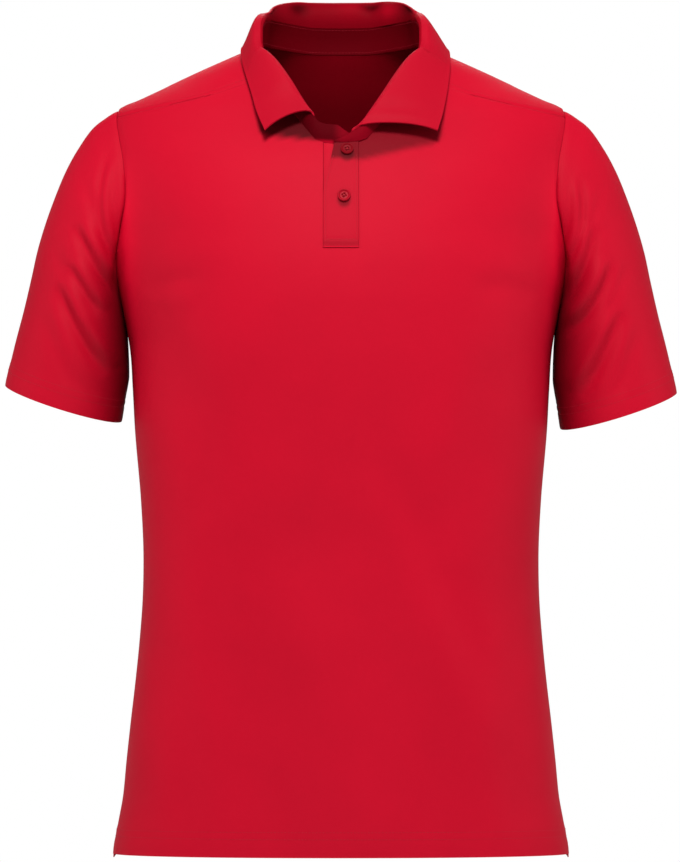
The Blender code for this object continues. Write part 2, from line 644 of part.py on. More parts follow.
def lay_leaf(stand, stand_out, station, outward):
    """The collar leaf: up from the stand, over the roll and down to its edge over the body.

    Its outer face is the one that shows: it faces the neck as it rises, and outwards as it falls.
    """
    first = LAP_COLUMNS + LEAF_START
    last = stand.shape[1] - 1 - first
    middle = (stand.shape[1] - 1) // 2
    cut = slice(first, last + 1)
    parting = seam_side(stand[-1], stand_out[-1], np.array([0.0, 0.0, 1.0]))[cut] * SEAM_GAP
    base = stand[-1, cut] - stand_out[-1, cut] * COLLAR_WALL + parting
    onward = unit(stand[-1, cut] - stand[-2, cut]) * column(COLLAR, 3, station[cut])[:, None]
    own = station[cut].copy()
    own[:middle - first] = (own[:middle - first] - own[0]) / (1 - own[0])
    own[middle - first:] = (own[middle - first:] - own[-1]) / (1 - own[-1])
    up = column(COLLAR, 3, own)[:, None] * np.array([0.0, 0.0, 1.0])
    out = column(COLLAR, 4, own)[:, None] * outward[cut]
    crest = base + up + out
    edges = {}
    for side, place in ((-1, 1), (1, 2)):
        rows = []
        for row in LEAF_EDGE:
            x, z, front = row[place], row[3], row[4] > 0
            rows.append(body_point(x, z, front) + LEAF_LIFT * body_normal(x, z, front))
        rows = np.array(rows) * np.array([float(side), 1.0, 1.0])
        edges[side] = np.stack([smooth(LEAF_EDGE[:, 0], rows[:, k], own) for k in range(3)], axis=1)
    right = (np.arange(len(own)) < middle - first)[:, None]
    edge = np.where(right, edges[-1], edges[1])
    rising = hermite(base, onward * 2.0, crest, out * 1.7, LEAF_RISE_ROWS)
    falling = hermite(crest, out * 1.8, edge, (edge - crest) * 0.9, LEAF_FALL_ROWS)
    grid = np.concatenate([rising, falling[1:]])
    way_out = normals(grid, 1)
    inward = np.sum(way_out[-2, middle - first] * np.array([0.0, 1.0, 0.0])) < 0
    if inward:
        way_out = -way_out
    way_out[0] = -stand_out[-1, cut]
    return grid, way_out


def lay_band(edge_table, thickness, over):
    """One band of the placket, over (1) or under (-1) the body's surface."""
    right = PLACKET_WIDTH / 2 - SEAM_GAP
    share = np.linspace(0, 1, PLACKET_COLUMNS + 1)[None, :]
    foot = PLACKET_END + SEAM_GAP
    level = np.linspace(foot, NECK_FRONT[-1, 0], PLACKET_ROWS + 2)[:, None]
    left = -right if edge_table is None else column(edge_table, 1, level)
    x = left + (right - left) * share
    z = level + (neck_level(x) - NECK_FRONT[-1, 0]) * (level - foot) / (NECK_FRONT[-1, 0] - foot)
    z = z - SEAM_GAP / 2 * (level > level[-2])
    way_out = body_normal(x, z, True)
    return body_point(x, z, True) + way_out * over * lap_step(thickness), way_out


def turn_button(name, centre, way_out):
    """A round button: its outline turned about the way out of the cloth under it."""
    angle = np.linspace(0, 2 * np.pi, BUTTON_SIDES, endpoint=False)
    first = unit(np.cross(np.array([0.0, 0.0, 1.0]), way_out))
    second = np.cross(way_out, first)
    spoke = np.cos(angle)[:, None] * first + np.sin(angle)[:, None] * second
    points = []
    for radius, height in BUTTON_PROFILE:
        points.append(centre + spoke * radius + way_out * height)
    points = np.concatenate(points)
    faces = []
    for ring in range(len(BUTTON_PROFILE) - 1):
        for k in range(BUTTON_SIDES):
            a, b = ring * BUTTON_SIDES + k, ring * BUTTON_SIDES + (k + 1) % BUTTON_SIDES
            faces.append([a, a + BUTTON_SIDES, b + BUTTON_SIDES, b])
    faces.append(list(range(BUTTON_SIDES)))
    faces.append(list(range(len(points) - BUTTON_SIDES, len(points)))[::-1])
    return solid(name, points, faces, BUTTON_RED, 0.45)


def build():
    for old in list(bpy.data.objects):
        bpy.data.objects.remove(old, do_unlink=True)

    front, back, front_out, back_out, front_cut, back_cut, sleeve, shared = cut_panels()
    stand, stand_out, station, outward = lay_stand(front, back, front_out, back_out,
                                                   front_cut, back_cut)
    leaf, leaf_out = lay_leaf(stand, stand_out, station, outward)
    front, back = front + front_cut, back + back_cut

    # The front, slit for the placket above its lower end
    level = front[:, :1, 2]
    centre = body_point(0.0 * level, level, True)
    centre_out = body_normal(0.0 * level, level, True)
    whole = np.concatenate([mirrored(front), centre, front], axis=1)
    whole_out = np.concatenate([mirrored(front_out), centre_out, front_out], axis=1)
    keep = np.ones((whole.shape[0] - 1, whole.shape[1] - 1), bool)
    keep[LOWER_ROWS + CHEST_ROWS:, COLUMNS:COLUMNS + 2] = False
    wall("front", whole, whole_out, WALL, RED, keep)

    # The back, which comes over the shoulders: its halves join along the middle
    back[:LOWER_ROWS + BACK_ROWS + 1, 0, 0] = 0.0
    back_out[:LOWER_ROWS + BACK_ROWS + 1, 0, 0] = 0.0
    whole = np.concatenate([mirrored(back), back], axis=1)
    whole_out = np.concatenate([mirrored(back_out), back_out], axis=1)
    keep = np.ones((whole.shape[0] - 1, whole.shape[1] - 1), bool)
    keep[:, COLUMNS] = False
    wall("back", whole, unit(whole_out), WALL, RED, keep)

    for name, side in (("sleeve_right", -1), ("sleeve_left", 1)):
        way_out = normals(sleeve, -1, ring=True)
        rings = sleeve_folds(sleeve, way_out, side)
        rings[..., 2] -= CUFF_DROP[side] * np.linspace(0, 1, len(rings))[:, None] ** 2
        way_out = normals(rings, -1, ring=True)
        way_out[0] = shared
        flip = np.array([float(side), 1.0, 1.0])
        wall(name, rings * flip, way_out * flip, WALL, RED, ring=True)

    wall("collar_stand", stand, stand_out, COLLAR_WALL, RED)
    wall("collar_leaf", leaf, leaf_out, COLLAR_WALL, RED)
    for name, table, over in (("placket_upper", PLACKET_EDGE, 1), ("placket_under", None, -1)):
        band, band_out = lay_band(table, WALL, over)
        wall(name, band, band_out, WALL, RED)

    for name, (x, z) in BUTTONS.items():
        way_out = body_normal(x, z, True)
        seat = body_point(x, z, True) + way_out * (lap_step(WALL) + SEAM_GAP + 0.1)
        turn_button(name, seat, way_out)


if __name__ == "__main__":
    build()
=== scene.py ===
import math

import bpy
import numpy as np
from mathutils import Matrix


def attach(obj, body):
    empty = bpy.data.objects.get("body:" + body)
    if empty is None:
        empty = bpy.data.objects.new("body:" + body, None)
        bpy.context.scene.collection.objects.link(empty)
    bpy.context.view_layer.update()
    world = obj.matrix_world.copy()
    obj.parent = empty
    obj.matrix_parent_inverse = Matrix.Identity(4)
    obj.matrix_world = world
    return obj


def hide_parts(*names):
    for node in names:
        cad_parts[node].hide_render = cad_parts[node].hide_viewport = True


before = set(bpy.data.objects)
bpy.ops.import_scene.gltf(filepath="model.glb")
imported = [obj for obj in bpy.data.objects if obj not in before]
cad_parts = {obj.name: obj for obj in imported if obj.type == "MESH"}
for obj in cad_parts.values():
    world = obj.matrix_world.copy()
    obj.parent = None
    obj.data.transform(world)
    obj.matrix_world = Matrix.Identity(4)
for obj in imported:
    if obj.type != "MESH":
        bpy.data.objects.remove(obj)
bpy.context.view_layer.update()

mm = 0.001              # all tables below are in millimetres
shownEdge = 50          # degrees, past which an edge is shaded sharp
even = np.linspace(0, 1, 240)
crowded = 1 - (1 - even) ** 2           # steps that close up towards the side


def smoothCurve(tableX, tableY, x):
    # cubic between the table's points; the slope at a point is the mean of its neighbours' slopes,
    # held to three times the smaller one and to zero at a peak, so that nothing overshoots
    tableX, tableY = np.asarray(tableX, float), np.asarray(tableY, float)
    if tableX[0] > tableX[-1]:
        tableX, tableY = tableX[::-1], tableY[::-1]
    x = np.clip(x, tableX[0], tableX[-1])
    step = np.diff(tableX)
    slope = np.diff(tableY) / step
    tangent = np.concatenate([slope[:1], (slope[1:] + slope[:-1]) / 2, slope[-1:]])
    tangent[1:-1][slope[1:] * slope[:-1] <= 0] = 0
    low = 3 * np.minimum(np.abs(slope[1:]), np.abs(slope[:-1]))
    tangent[1:-1] = np.clip(tangent[1:-1], -low, low)
    cell = np.clip(np.searchsorted(tableX, x, side="right") - 1, 0, len(step) - 1)
    t = (x - tableX[cell]) / step[cell]
    start = (1 + 2 * t) * (1 - t) ** 2 * tableY[cell]
    end = t * t * (3 - 2 * t) * tableY[cell + 1]
    leave = t * (1 - t) ** 2 * step[cell] * tangent[cell]
    arrive = t * t * (t - 1) * step[cell] * tangent[cell + 1]
    return start + end + leave + arrive


def readTable(table, place, x):
    # the smooth curve through the table's first column and the given one
    return smoothCurve(table[:, 0], table[:, place], x)


def bell(value, place, breadth):
    # exp(-((value - place) / breadth)^2)
    return np.exp(-((value - place) / breadth) ** 2)


def eased(share):
    # 3 share^2 - 2 share^3, from 0 to 1 with level ends
    return share * share * (3 - 2 * share)


def unitVectors(vectors):
    # each vector divided by its length
    return vectors / np.maximum(np.linalg.norm(vectors, axis=-1, keepdims=True), 1e-9)


def lengthAlong(lines):
    # the distance run at each point of each line; lines are rows of a (rows, points, 3) array
    steps = np.linalg.norm(np.diff(lines, axis=1), axis=2)
    return np.concatenate([np.zeros((len(lines), 1)), np.cumsum(steps, axis=1)], axis=1)


def evenRows(lines, count):
    # count + 1 points at even distances along each line: the share run is made a key that grows
    # by 2 from line to line, so one interpolation serves them all
    along = lengthAlong(lines)
    offset = 2.0 * np.arange(len(lines))[:, None]
    keys = (along / along[:, -1:] + offset).ravel()
    wanted = (np.linspace(0, 1, count + 1)[None, :] + offset).ravel()
    read = [np.interp(wanted, keys, lines[..., k].ravel()) for k in range(lines.shape[2])]
    return np.stack(read, axis=1).reshape(len(lines), count + 1, -1)


def evenLine(points, count):
    return evenRows(points[None], count)[0]


def wayOutOf(grid, sign, ring=False):
    # the cross product of the steps along the rows and along the columns
    wide = np.concatenate([grid[:, -1:], grid, grid[:, :1]], axis=1) if ring else grid
    across = np.gradient(wide, axis=1)
    across = across[:, 1:-1] if ring else across
    return unitVectors(np.cross(across, np.gradient(grid, axis=0))) * sign


def hermite(start, leave, end, arrive, count):
    # the cubic with the given end points and end headings, at even steps
    t = np.linspace(0, 1, count + 1)[:, None, None]
    return ((1 + 2 * t) * (1 - t) ** 2 * start + t * (1 - t) ** 2 * leave
            + t * t * (3 - 2 * t) * end + t * t * (t - 1) * arrive)


def flipped(points, side):
    # x times -1 on the wearer's right, and kept on the left
    return points * np.array([float(side), 1.0, 1.0])


def mirrored(grid):
    # the right half, its columns running from the side to the middle
    return flipped(grid[:, ::-1], -1)


def seamSide(line, wayOut, towards):
    # square to the seam and in the surface, on the side that towards points to
    side = unitVectors(np.cross(np.gradient(line, axis=0), wayOut))
    return side * np.where(np.sum(side * towards, axis=-1, keepdims=True) < 0, -1.0, 1.0)


def foldShift(seen, facing, folds):
    # soft troughs with a ridge beside each. seen is (x, z) from the front; a fold is a parabola
    # through three points, its section is -exp(-d^2 / 0.35) + ridge * exp(-(d + 0.95)^2 / 0.5)
    # for d = signed distance / breadth, and it dies away towards both ends
    shift = np.zeros(seen.shape[:2])
    t = np.linspace(0, 1, 40)[:, None]
    for x1, z1, x2, z2, x3, z3, depth, breadth, ridge, side in folds:
        start, bend, end = np.array([x1, z1]), np.array([x2, z2]), np.array([x3, z3])
        line = (1 - t) ** 2 * start + 2 * t * (1 - t) * (2 * bend - (start + end) / 2) + t * t * end
        gaps = seen[:, :, None, :] - line
        away = np.linalg.norm(gaps, axis=-1)
        near = np.argmin(away, axis=-1)
        heading = np.gradient(line, axis=0)[near]
        gap = np.take_along_axis(gaps, near[..., None, None], axis=2)[..., 0, :]
        hand = np.sign(heading[..., 0] * gap[..., 1] - heading[..., 1] * gap[..., 0])
        over = hand * np.min(away, axis=-1) / breadth
        fade = np.sin(np.pi / 2 * np.clip(np.minimum(near, 39 - near) / 12.0, 0, 1))
        form = ridge * np.exp(-(over + 0.95) ** 2 / 0.5) - np.exp(-over ** 2 / 0.35)
        shift += depth * fade * form * np.clip(facing * side * 1.8, 0, 1)
    return shift


def gridShell(name, grid, wayOut, thickness, materials, keep=None, ring=False, turned=None,
              shade=None):
    # a closed shell: the grid, the same grid moved in by the thickness, and a rim on every open
    # edge. Points of the grid that fall together become one. The UV map is the flat cloth in
    # metres: the length run along the row, and the mean length run along the columns. The outer
    # faces where turned is true take the third material. shade is the share of its colour that the
    # cloth keeps at each point: painted shade where it lies in a deep fold, under the collar or
    # inside the neck, and painted light, above 1, near the armholes and at the placket's foot
    rows, columns = grid.shape[:2]
    count = rows * columns
    outer = grid.reshape(-1, 3)
    inner = (grid - wayOut * thickness).reshape(-1, 3)
    _, first, same = np.unique(np.round(outer, 3), axis=0, return_index=True, return_inverse=True)
    index = first[same.reshape(-1)].reshape(rows, columns)
    closedGrid = np.concatenate([grid, grid[:, :1]], axis=1) if ring else grid
    index = np.concatenate([index, index[:, :1]], axis=1) if ring else index
    along = lengthAlong(closedGrid)
    middle = along[:, along.shape[1] // 2][:, None]
    down = lengthAlong(closedGrid.transpose(1, 0, 2)).mean(axis=0)[:, None]
    flat = np.stack([along - middle, np.broadcast_to(down, along.shape)], axis=-1) * mm
    corners = [(slice(None, -1), slice(None, -1)), (slice(None, -1), slice(1, None)),
               (slice(1, None), slice(1, None)), (slice(1, None), slice(None, -1))]
    quads = np.stack([index[c] for c in corners], axis=-1)
    flats = np.stack([flat[c] for c in corners], axis=-2)
    keep = np.ones(quads.shape[:2], bool) if keep is None else keep
    quads, flats = quads[keep], flats[keep]
    outside = np.zeros(len(quads), int) if turned is None else np.where(turned[keep], 2, 0)
    edges = quads[:, [0, 1, 1, 2, 2, 3, 3, 0]].reshape(-1, 2)
    edgeFlats = flats[:, [0, 1, 1, 2, 2, 3, 3, 0]].reshape(-1, 2, 2)
    _, place, times = np.unique(np.sort(edges, axis=1), axis=0, return_index=True, return_counts=True)
    rim = place[times == 1]
    a, b = edges[rim].T
    rimQuads = np.stack([b, a, a + count, b + count], axis=1)
    rimFlats = edgeFlats[rim][:, [1, 0, 0, 1]]
    faces = np.concatenate([quads, quads[:, ::-1] + count, rimQuads])
    flats = np.concatenate([flats, flats[:, ::-1], rimFlats])
    kinds = np.concatenate([outside, np.ones(len(quads), int), np.zeros(len(rim), int)])
    shade = np.ones(count) if shade is None else np.broadcast_to(shade, (rows, columns)).reshape(-1)
    shade = np.concatenate([shade, shade])
    return meshObject(name, np.concatenate([outer, inner]), faces, materials, flats, kinds, shade)


def meshObject(name, points, faces, materials, flats=None, kinds=None, shade=None):
    # unused points are dropped, and all faces are turned round if the volume comes out negative
    used, faces = np.unique(faces, return_inverse=True)
    faces = faces.reshape(-1, 4)
    points = np.asarray(points)[used] * mm
    p, q, r, s = (points[faces[:, k]] for k in range(4))
    volume = np.sum(p * (np.cross(q, r) + np.cross(r, s)))
    if volume < 0:
        faces = faces[:, ::-1]
        flats = None if flats is None else flats[:, ::-1]
    mesh = bpy.data.meshes.new(name)
    mesh.from_pydata(points.tolist(), [], faces.tolist())
    if flats is not None:
        layer = mesh.uv_layers.new(name="clothMap")
        layer.data.foreach_set("uv", flats.astype(np.float32).ravel())
    if shade is not None:
        layer = mesh.attributes.new("shade", "FLOAT", "POINT")
        layer.data.foreach_set("value", shade[used].astype(np.float32))
    for material in materials:
        mesh.materials.append(material)
    if kinds is not None and len(materials) > 1:
        mesh.polygons.foreach_set("material_index", kinds.astype(np.int32))
    mesh.shade_smooth()
    mesh.set_sharp_from_angle(angle=math.radians(shownEdge))
    thing = bpy.data.objects.new(name, mesh)
    bpy.context.scene.collection.objects.link(thing)
    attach(thing, "root")
    return thing


# The body and its panels

body = {
    "hem": -709.5, "hemSideDrop": 6.5, "backTail": 4.0, "underarm": -232.0,
    "dropReach": 32.0,                      # the height over which the hem's drop dies out
    "spine": 3.5, "spineReach": 22.0,       # the hollow along the back's middle
    "placketWidth": 31.0, "placketEnd": -184.5,
    "seamGap": 0.3, "ventGap": 3.0, "ventTop": -664.0,
    "cloth": 0.8, "hemFold": 22.0, "hemThick": 0.5,
    "twinRows": (0.0, 6.0),                 # how far below the fold's edge each row of stitches is
    "sideDip": (0.7, 2.2), "shoulderDip": (0.55, 2.0),      # depth and breadth
    "columns": 66, "lowerRows": 110, "chestRows": 12, "placketRows": 22, "neckRows": 26,
    "backRows": 34, "napeRows": 26, "shoulderRows": 12,
}

bodyTable = np.array([
    # level   half  front  side  back  squareness
    [-716.0, 201.8, -121.0, -1.0, 127.0, 2.45],
    [-700.0, 199.4, -121.5, -1.0, 127.0, 2.45],
    [-684.0, 196.4, -122.0, -1.0, 127.0, 2.45],
    [-666.0, 193.0, -122.0, -1.0, 126.5, 2.45],
    [-634.0, 189.8, -122.5, -1.0, 125.0, 2.45],
    [-599.0, 186.0, -123.0, -1.0, 121.0, 2.45],
    [-563.0, 181.8, -123.0, -1.0, 115.0, 2.45],
    [-528.0, 178.3, -123.0, 0.0, 108.0, 2.45],
    [-492.0, 175.6, -122.5, 0.0, 102.0, 2.45],
    [-457.0, 174.8, -122.5, 0.0, 99.0, 2.45],
    [-404.0, 177.0, -124.0, 0.0, 101.0, 2.4],
    [-342.0, 182.3, -128.0, 1.0, 110.0, 2.4],
    [-306.0, 184.3, -130.5, 2.0, 116.5, 2.35],
    [-270.0, 186.8, -132.0, 3.0, 121.5, 2.3],
    [-232.0, 194.0, -131.5, 4.0, 124.5, 2.2],
    [-210.0, 199.0, -129.5, 4.0, 125.0, 2.15],
    [-190.0, 203.5, -126.5, 4.0, 124.5, 2.1],
    [-165.0, 209.0, -120.5, 4.0, 122.0, 2.0],
    [-135.0, 213.0, -110.0, 4.0, 117.0, 2.0],
    [-110.0, 214.0, -98.5, 4.0, 110.0, 2.0],
    [-88.0, 211.0, -84.5, 4.0, 101.5, 2.0],
    [-70.0, 205.5, -70.5, 4.0, 92.5, 2.0],
    [-57.7, 198.5, -60.5, 4.5, 86.0, 2.0],
    [-47.0, 178.5, -52.0, 5.0, 80.5, 2.0],
    [-36.4, 154.8, -44.0, 6.0, 75.5, 2.0],
    [-25.7, 132.4, -37.0, 7.0, 71.0, 2.0],
    [-15.1, 109.2, -31.0, 8.0, 66.5, 2.0],
    [-5.0, 86.0, -25.5, 9.0, 62.5, 2.0],
    [2.0, 68.0, -22.0, 9.0, 60.0, 2.0],
])

armholeTable = np.array([
    # level  front  back
    [-232.0, 194.0, 194.0],
    [-222.0, 195.6, 195.4],
    [-208.0, 197.6, 195.5],
    [-190.0, 198.4, 192.5],
    [-165.0, 194.0, 187.5],
    [-135.0, 189.6, 184.5],
    [-105.0, 191.6, 186.5],
    [-82.0, 196.0, 192.0],
    [-64.5, 198.8, 197.2],
    [-58.6, 198.0, 198.0],
])

neckFront = np.array([
    # level   half
    [0.4, 71.5],
    [-10.0, 74.0],
    [-22.0, 74.0],
    [-33.0, 71.2],
    [-53.0, 61.0],
    [-70.0, 47.5],
    [-82.5, 33.0],
    [-89.5, 20.0],
    [-91.0, 15.8],
])

neckBack = np.array([
    # half   level
    [0.0, -3.5],
    [26.0, -3.2],
    [50.0, -1.8],
    [66.0, -0.4],
    [71.5, 0.4],
])

shoulderSeam = np.array([
    # half   level
    [71.2, -33.0],
    [88.0, -37.5],
    [116.0, -47.0],
    [154.0, -56.0],
    [178.0, -60.5],
    [198.8, -64.5],
])

shoulderRidge = bodyTable[-9:, 1::-1][::-1]     # half width, level of the shoulder's top

# x1, z1 to x3, z3 over x2, z2 as seen from the front; side is 1 on the front and -1 on the back
frontFolds = [
    # x1    z1      x2     z2      x3     z3    depth breadth ridge side
    (-150, -250, -128, -330, -112, -430, 1.7, 34, 0.7, 1),
    (146, -262, 118, -350, 92, -452, 1.9, 38, 0.7, 1),
    (40, -360, 88, -470, 140, -588, 2.6, 30, 0.8, 1),
    (-96, -420, -108, -500, -84, -610, 2.2, 36, 0.6, 1),
    (-30, -300, -24, -390, -38, -480, 1.5, 40, 0.5, 1),
    (14, -470, 26, -560, 8, -660, 1.8, 44, 0.6, 1),
    (-150, -520, -132, -610, -138, -700, 1.9, 30, 0.7, 1),
    (158, -500, 150, -600, 162, -700, 1.6, 26, 0.7, 1),
    (-168, -226, -146, -212, -118, -214, 1.5, 17, 0.7, 1),
    (168, -230, 144, -217, 112, -222, 1.3, 18, 0.7, 1),
    (74, -600, 78, -650, 70, -704, 1.4, 24, 0.5, 1),
    (-60, -630, -56, -670, -62, -706, 1.2, 20, 0.5, 1),
]

backFolds = [
    (-30, -330, -70, -372, -132, -392, 2.6, 16, 0.8, -1),
    (24, -352, 74, -398, 140, -412, 2.9, 17, 0.8, -1),
    (-14, -404, -62, -432, -118, -446, 2.2, 15, 0.7, -1),
    (36, -438, 82, -462, 138, -470, 2.0, 16, 0.8, -1),
    (-60, -120, -52, -200, -64, -290, 2.0, 30, 0.6, -1),
    (66, -116, 58, -196, 72, -300, 2.2, 28, 0.6, -1),
    (-168, -216, -140, -204, -100, -214, 1.8, 16, 0.8, -1),
    (170, -220, 138, -210, 96, -224, 1.7, 17, 0.8, -1),
    (-120, -500, -108, -590, -122, -690, 2.3, 34, 0.7, -1),
    (104, -510, 118, -600, 102, -696, 2.0, 36, 0.7, -1),
    (-20, -520, -8, -600, -16, -690, 1.8, 38, 0.6, -1),
]


def bodyDepth(x, z, isFront):
    # a superellipse at each level: y runs from the side's y to the front's or the back's, by
    # (1 - share^power)^(1 / power)
    half, middle, power = (readTable(bodyTable, k, z) for k in (1, 3, 5))
    share = np.clip(np.abs(x) / half, 0, 1)
    bow = (1 - share ** power) ** (1 / power)
    if isFront:
        return middle + (readTable(bodyTable, 2, z) - middle) * bow
    spine = body["spine"] * bell(x, 0.0, body["spineReach"]) * np.clip((-z - 60) / 120, 0, 1)
    return middle + (readTable(bodyTable, 4, z) - middle) * bow - spine


def bodyPoint(x, z, isFront):
    # (x, depth, z) on the body's surface
    x, z = np.broadcast_arrays(np.asarray(x, float), np.asarray(z, float))
    return np.stack([x, bodyDepth(x, z, isFront), z], axis=-1)


def bodyNormal(x, z, isFront):
    # the cross product of small steps across and up, facing out
    step = 0.5
    across = bodyPoint(x + step, z, isFront) - bodyPoint(x - step, z, isFront)
    rise = bodyPoint(x, z + step, isFront) - bodyPoint(x, z - step, isFront)
    return unitVectors(np.cross(across, rise)) * (1 if isFront else -1)


def lowerRows(isFront):
    # level rows from the hem to the underarm; the hem's drop dies out over the lowest tenth
    start = body["placketWidth"] / 2 if isFront else 0.0
    level = np.linspace(body["hem"], body["underarm"], body["lowerRows"] + 1)[:, None]
    lowest = np.clip(1 - (level - body["hem"]) / body["dropReach"], 0, 1)
    sink = (body["hemSideDrop"] * even[None, :] ** 2 + (0.0 if isFront else body["backTail"])) * lowest
    half = readTable(bodyTable, 1, level - sink[:, -1:])
    x = start + (half - start) * crowded[None, :]
    return evenRows(bodyPoint(x, level - sink, isFront), body["columns"])


def rowsBetween(starts, ends, raised, ridge, isFront):
    # rows of the body's surface from start to end in x and z, drawn towards the ridge's level
    x = starts[:, :1] + (ends[:, :1] - starts[:, :1]) * crowded[None, :]
    z = starts[:, 1:] + (ends[:, 1:] - starts[:, 1:]) * crowded[None, :]
    z = z + raised[:, None] * (readTable(ridge, 1, x) - z)
    return evenRows(bodyPoint(x, z, isFront), body["columns"])


def armholeLine(side, top, count):
    # the armhole's edge on the front (1) or the back (2), from the underarm up, at even steps
    z = np.linspace(body["underarm"], top, 400)
    return evenLine(bodyPoint(readTable(armholeTable, side, z), z, side == 1), count)


def frontHalf():
    # level rows below, then rows from the placket's edge or the neckline out to the armhole
    z = np.linspace(neckFront[-1, 0], shoulderSeam[0, 1], 300)
    neck = evenLine(bodyPoint(readTable(neckFront, 1, z), z, True), body["neckRows"])
    edge = body["placketWidth"] / 2
    chest = np.linspace(body["underarm"], body["placketEnd"], body["chestRows"] + 1)[1:]
    beside = np.linspace(body["placketEnd"], neck[0, 2], body["placketRows"] + 1)[1:]
    levels = np.concatenate([chest, beside])
    inner = np.concatenate([np.stack([np.full(len(levels), edge), levels], axis=1), neck[1:, ::2]])
    arm = armholeLine(1, shoulderSeam[-1, 1], len(inner))
    share = np.arange(1, len(inner) + 1) / len(inner)
    raised = np.clip((share - 0.6) / 0.4, 0, 1)
    upper = rowsBetween(inner, arm[1:, ::2], raised, shoulderSeam, True)
    upper[:, -1] = arm[1:]
    return np.concatenate([lowerRows(True), upper])


def backHalf():
    # level rows below, then rows from the back's middle or the nape out to the armhole
    x = np.linspace(0, neckBack[-1, 0], 300)
    nape = evenLine(bodyPoint(x, readTable(neckBack, 1, x), False), body["napeRows"])
    levels = np.linspace(body["underarm"], neckBack[0, 1], body["backRows"] + 1)[1:]
    inner = np.concatenate([np.stack([0 * levels, levels], axis=1), nape[1:, ::2]])
    arm = armholeLine(2, armholeTable[-1, 0], len(inner))
    share = np.arange(1, len(inner) + 1) / len(inner)
    raised = np.clip((share - 0.7) / 0.3, 0, 1)
    upper = rowsBetween(inner, arm[1:, ::2], raised, shoulderRidge, False)
    upper[:, -1] = arm[1:]
    # over the top of the shoulder and down to the forward shoulder seam
    fall = (np.arange(1, body["shoulderRows"] + 1) / body["shoulderRows"])[:, None] ** 1.6
    neckZ = neckFront[0, 0] + fall * (shoulderSeam[0, 1] - neckFront[0, 0])
    armZ = armholeTable[-1, 0] + fall * (shoulderSeam[-1, 1] - armholeTable[-1, 0])
    neckX, armX = readTable(neckFront, 1, neckZ), readTable(armholeTable, 1, armZ)
    x = neckX + (armX - neckX) * even[None, :]
    z = readTable(shoulderRidge, 1, x) * (1 - fall) + readTable(shoulderSeam, 1, x) * fall
    over = evenRows(bodyPoint(x, z, True), body["columns"])
    return np.concatenate([lowerRows(False), upper, over])


def seamDip(distance, depth, breadth):
    # the cloth draws in towards a seam and stands a little proud beside it
    reach = distance / breadth
    return depth * (0.45 * np.exp(-(reach - 1.7) ** 2 / 0.6) - np.exp(-reach ** 2 / 0.5))


def hemRelief(distance, fold):
    # the turned hem is thicker up to its fold's height, with a groove under each row of stitches
    band = 1 / (1 + np.exp(np.clip((distance - fold - 1.5) / 0.7, -30, 30)))
    grooves = sum(np.exp(-((distance - fold + gap) / 0.9) ** 2) for gap in body["twinRows"])
    rolled = np.exp(-distance / 1.2)
    return body["hemThick"] * (band - 0.7 * rolled) - 0.45 * grooves


def rowDistance(grid, fromRow):
    # how far each point lies along its column from the given row
    along = lengthAlong(grid.transpose(1, 0, 2)).T
    return np.abs(along - along[fromRow])


def columnDistance(grid, fromColumn):
    # how far each point lies along its row from the given column
    along = lengthAlong(grid)
    return np.abs(along - along[:, fromColumn][:, None])


ridge = {
    "passes": 8, "share": 0.8, "atArmhole": 0.3,
    "half": -150.0, "halfOver": 25.0, "level": 95.0, "levelOver": 20.0,
}


def easeRidge(back):
    # where the shoulder's ridge meets the armhole the rows crowd, so each point there is moved
    # by a share towards the mean of its neighbours above and below, in a few passes
    first = body["lowerRows"] + 2
    moved = back[first + 1:-1]
    near = np.clip((moved[..., 0] + ridge["half"]) / ridge["halfOver"], 0, 1)
    near *= np.clip((moved[..., 2] + ridge["level"]) / ridge["levelOver"], 0, 1)
    near[:, -1] *= ridge["atArmhole"]
    for _ in range(ridge["passes"]):
        moved += ((back[first:-2] + back[first + 2:]) / 2 - moved) * near[..., None] * ridge["share"]


def cutPanels():
    # both panels' left halves, shared seam lines first, then moved apart by the seam gap
    lower = body["lowerRows"]
    front, back = frontHalf(), backHalf()
    back[-1] = front[-1]
    easeRidge(back)
    frontOut, backOut = wayOutOf(front, 1), wayOutOf(back, -1)
    side = slice(0, lower + 1)
    frontOut[side, -1] = backOut[side, -1] = unitVectors(frontOut[side, -1] + backOut[side, -1])
    frontOut[-1] = backOut[-1] = unitVectors(frontOut[-1] + backOut[-1])
    rise = len(front) - lower
    loop = np.concatenate([front[lower:, -1], back[lower + 1:-1, -1][::-1]])
    bodyOut = np.concatenate([frontOut[lower:, -1], backOut[lower + 1:-1, -1][::-1]])
    rings = sleeveBase(loop, rise - 1 + body["shoulderRows"])
    shared = unitVectors(bodyOut + wayOutOf(rings, -1, ring=True)[0])
    frontOut[lower:, -1] = shared[:rise]
    backOut[lower + 1:-1, -1] = shared[rise:][::-1]
    backOut[lower, -1], backOut[-1, -1] = shared[0], shared[rise - 1]
    around = np.concatenate([loop[-1:], loop, loop[:1]])
    apart = unitVectors(np.cross(np.gradient(around, axis=0)[1:-1], shared))
    apart *= np.where(apart[:, :1] < 0, -1.0, 1.0) * body["seamGap"] / 2
    rings[0] += apart
    frontCut, backCut = np.zeros_like(front), np.zeros_like(back)
    frontCut[lower:, -1] -= apart[:rise]
    backCut[lower + 1:-1, -1] -= apart[rise:][::-1]
    backCut[lower, -1] -= apart[0]
    backCut[-1, -1] -= apart[rise - 1]
    level = front[side, -1, 2]
    opened = np.clip((body["ventTop"] - level) / (body["ventTop"] - body["hem"]), 0, 1) ** 1.3
    halfGap = body["seamGap"] / 2 + (body["ventGap"] - body["seamGap"]) / 2 * opened
    frontCut[side, -1, 1] -= halfGap
    backCut[side, -1, 1] += halfGap
    fall = seamSide(front[-1], frontOut[-1], front[-2] - front[-1]) * body["seamGap"] / 2
    frontCut[-1] += fall
    backCut[-1] -= fall
    return front, back, frontOut, backOut, frontCut, backCut, rings, shared


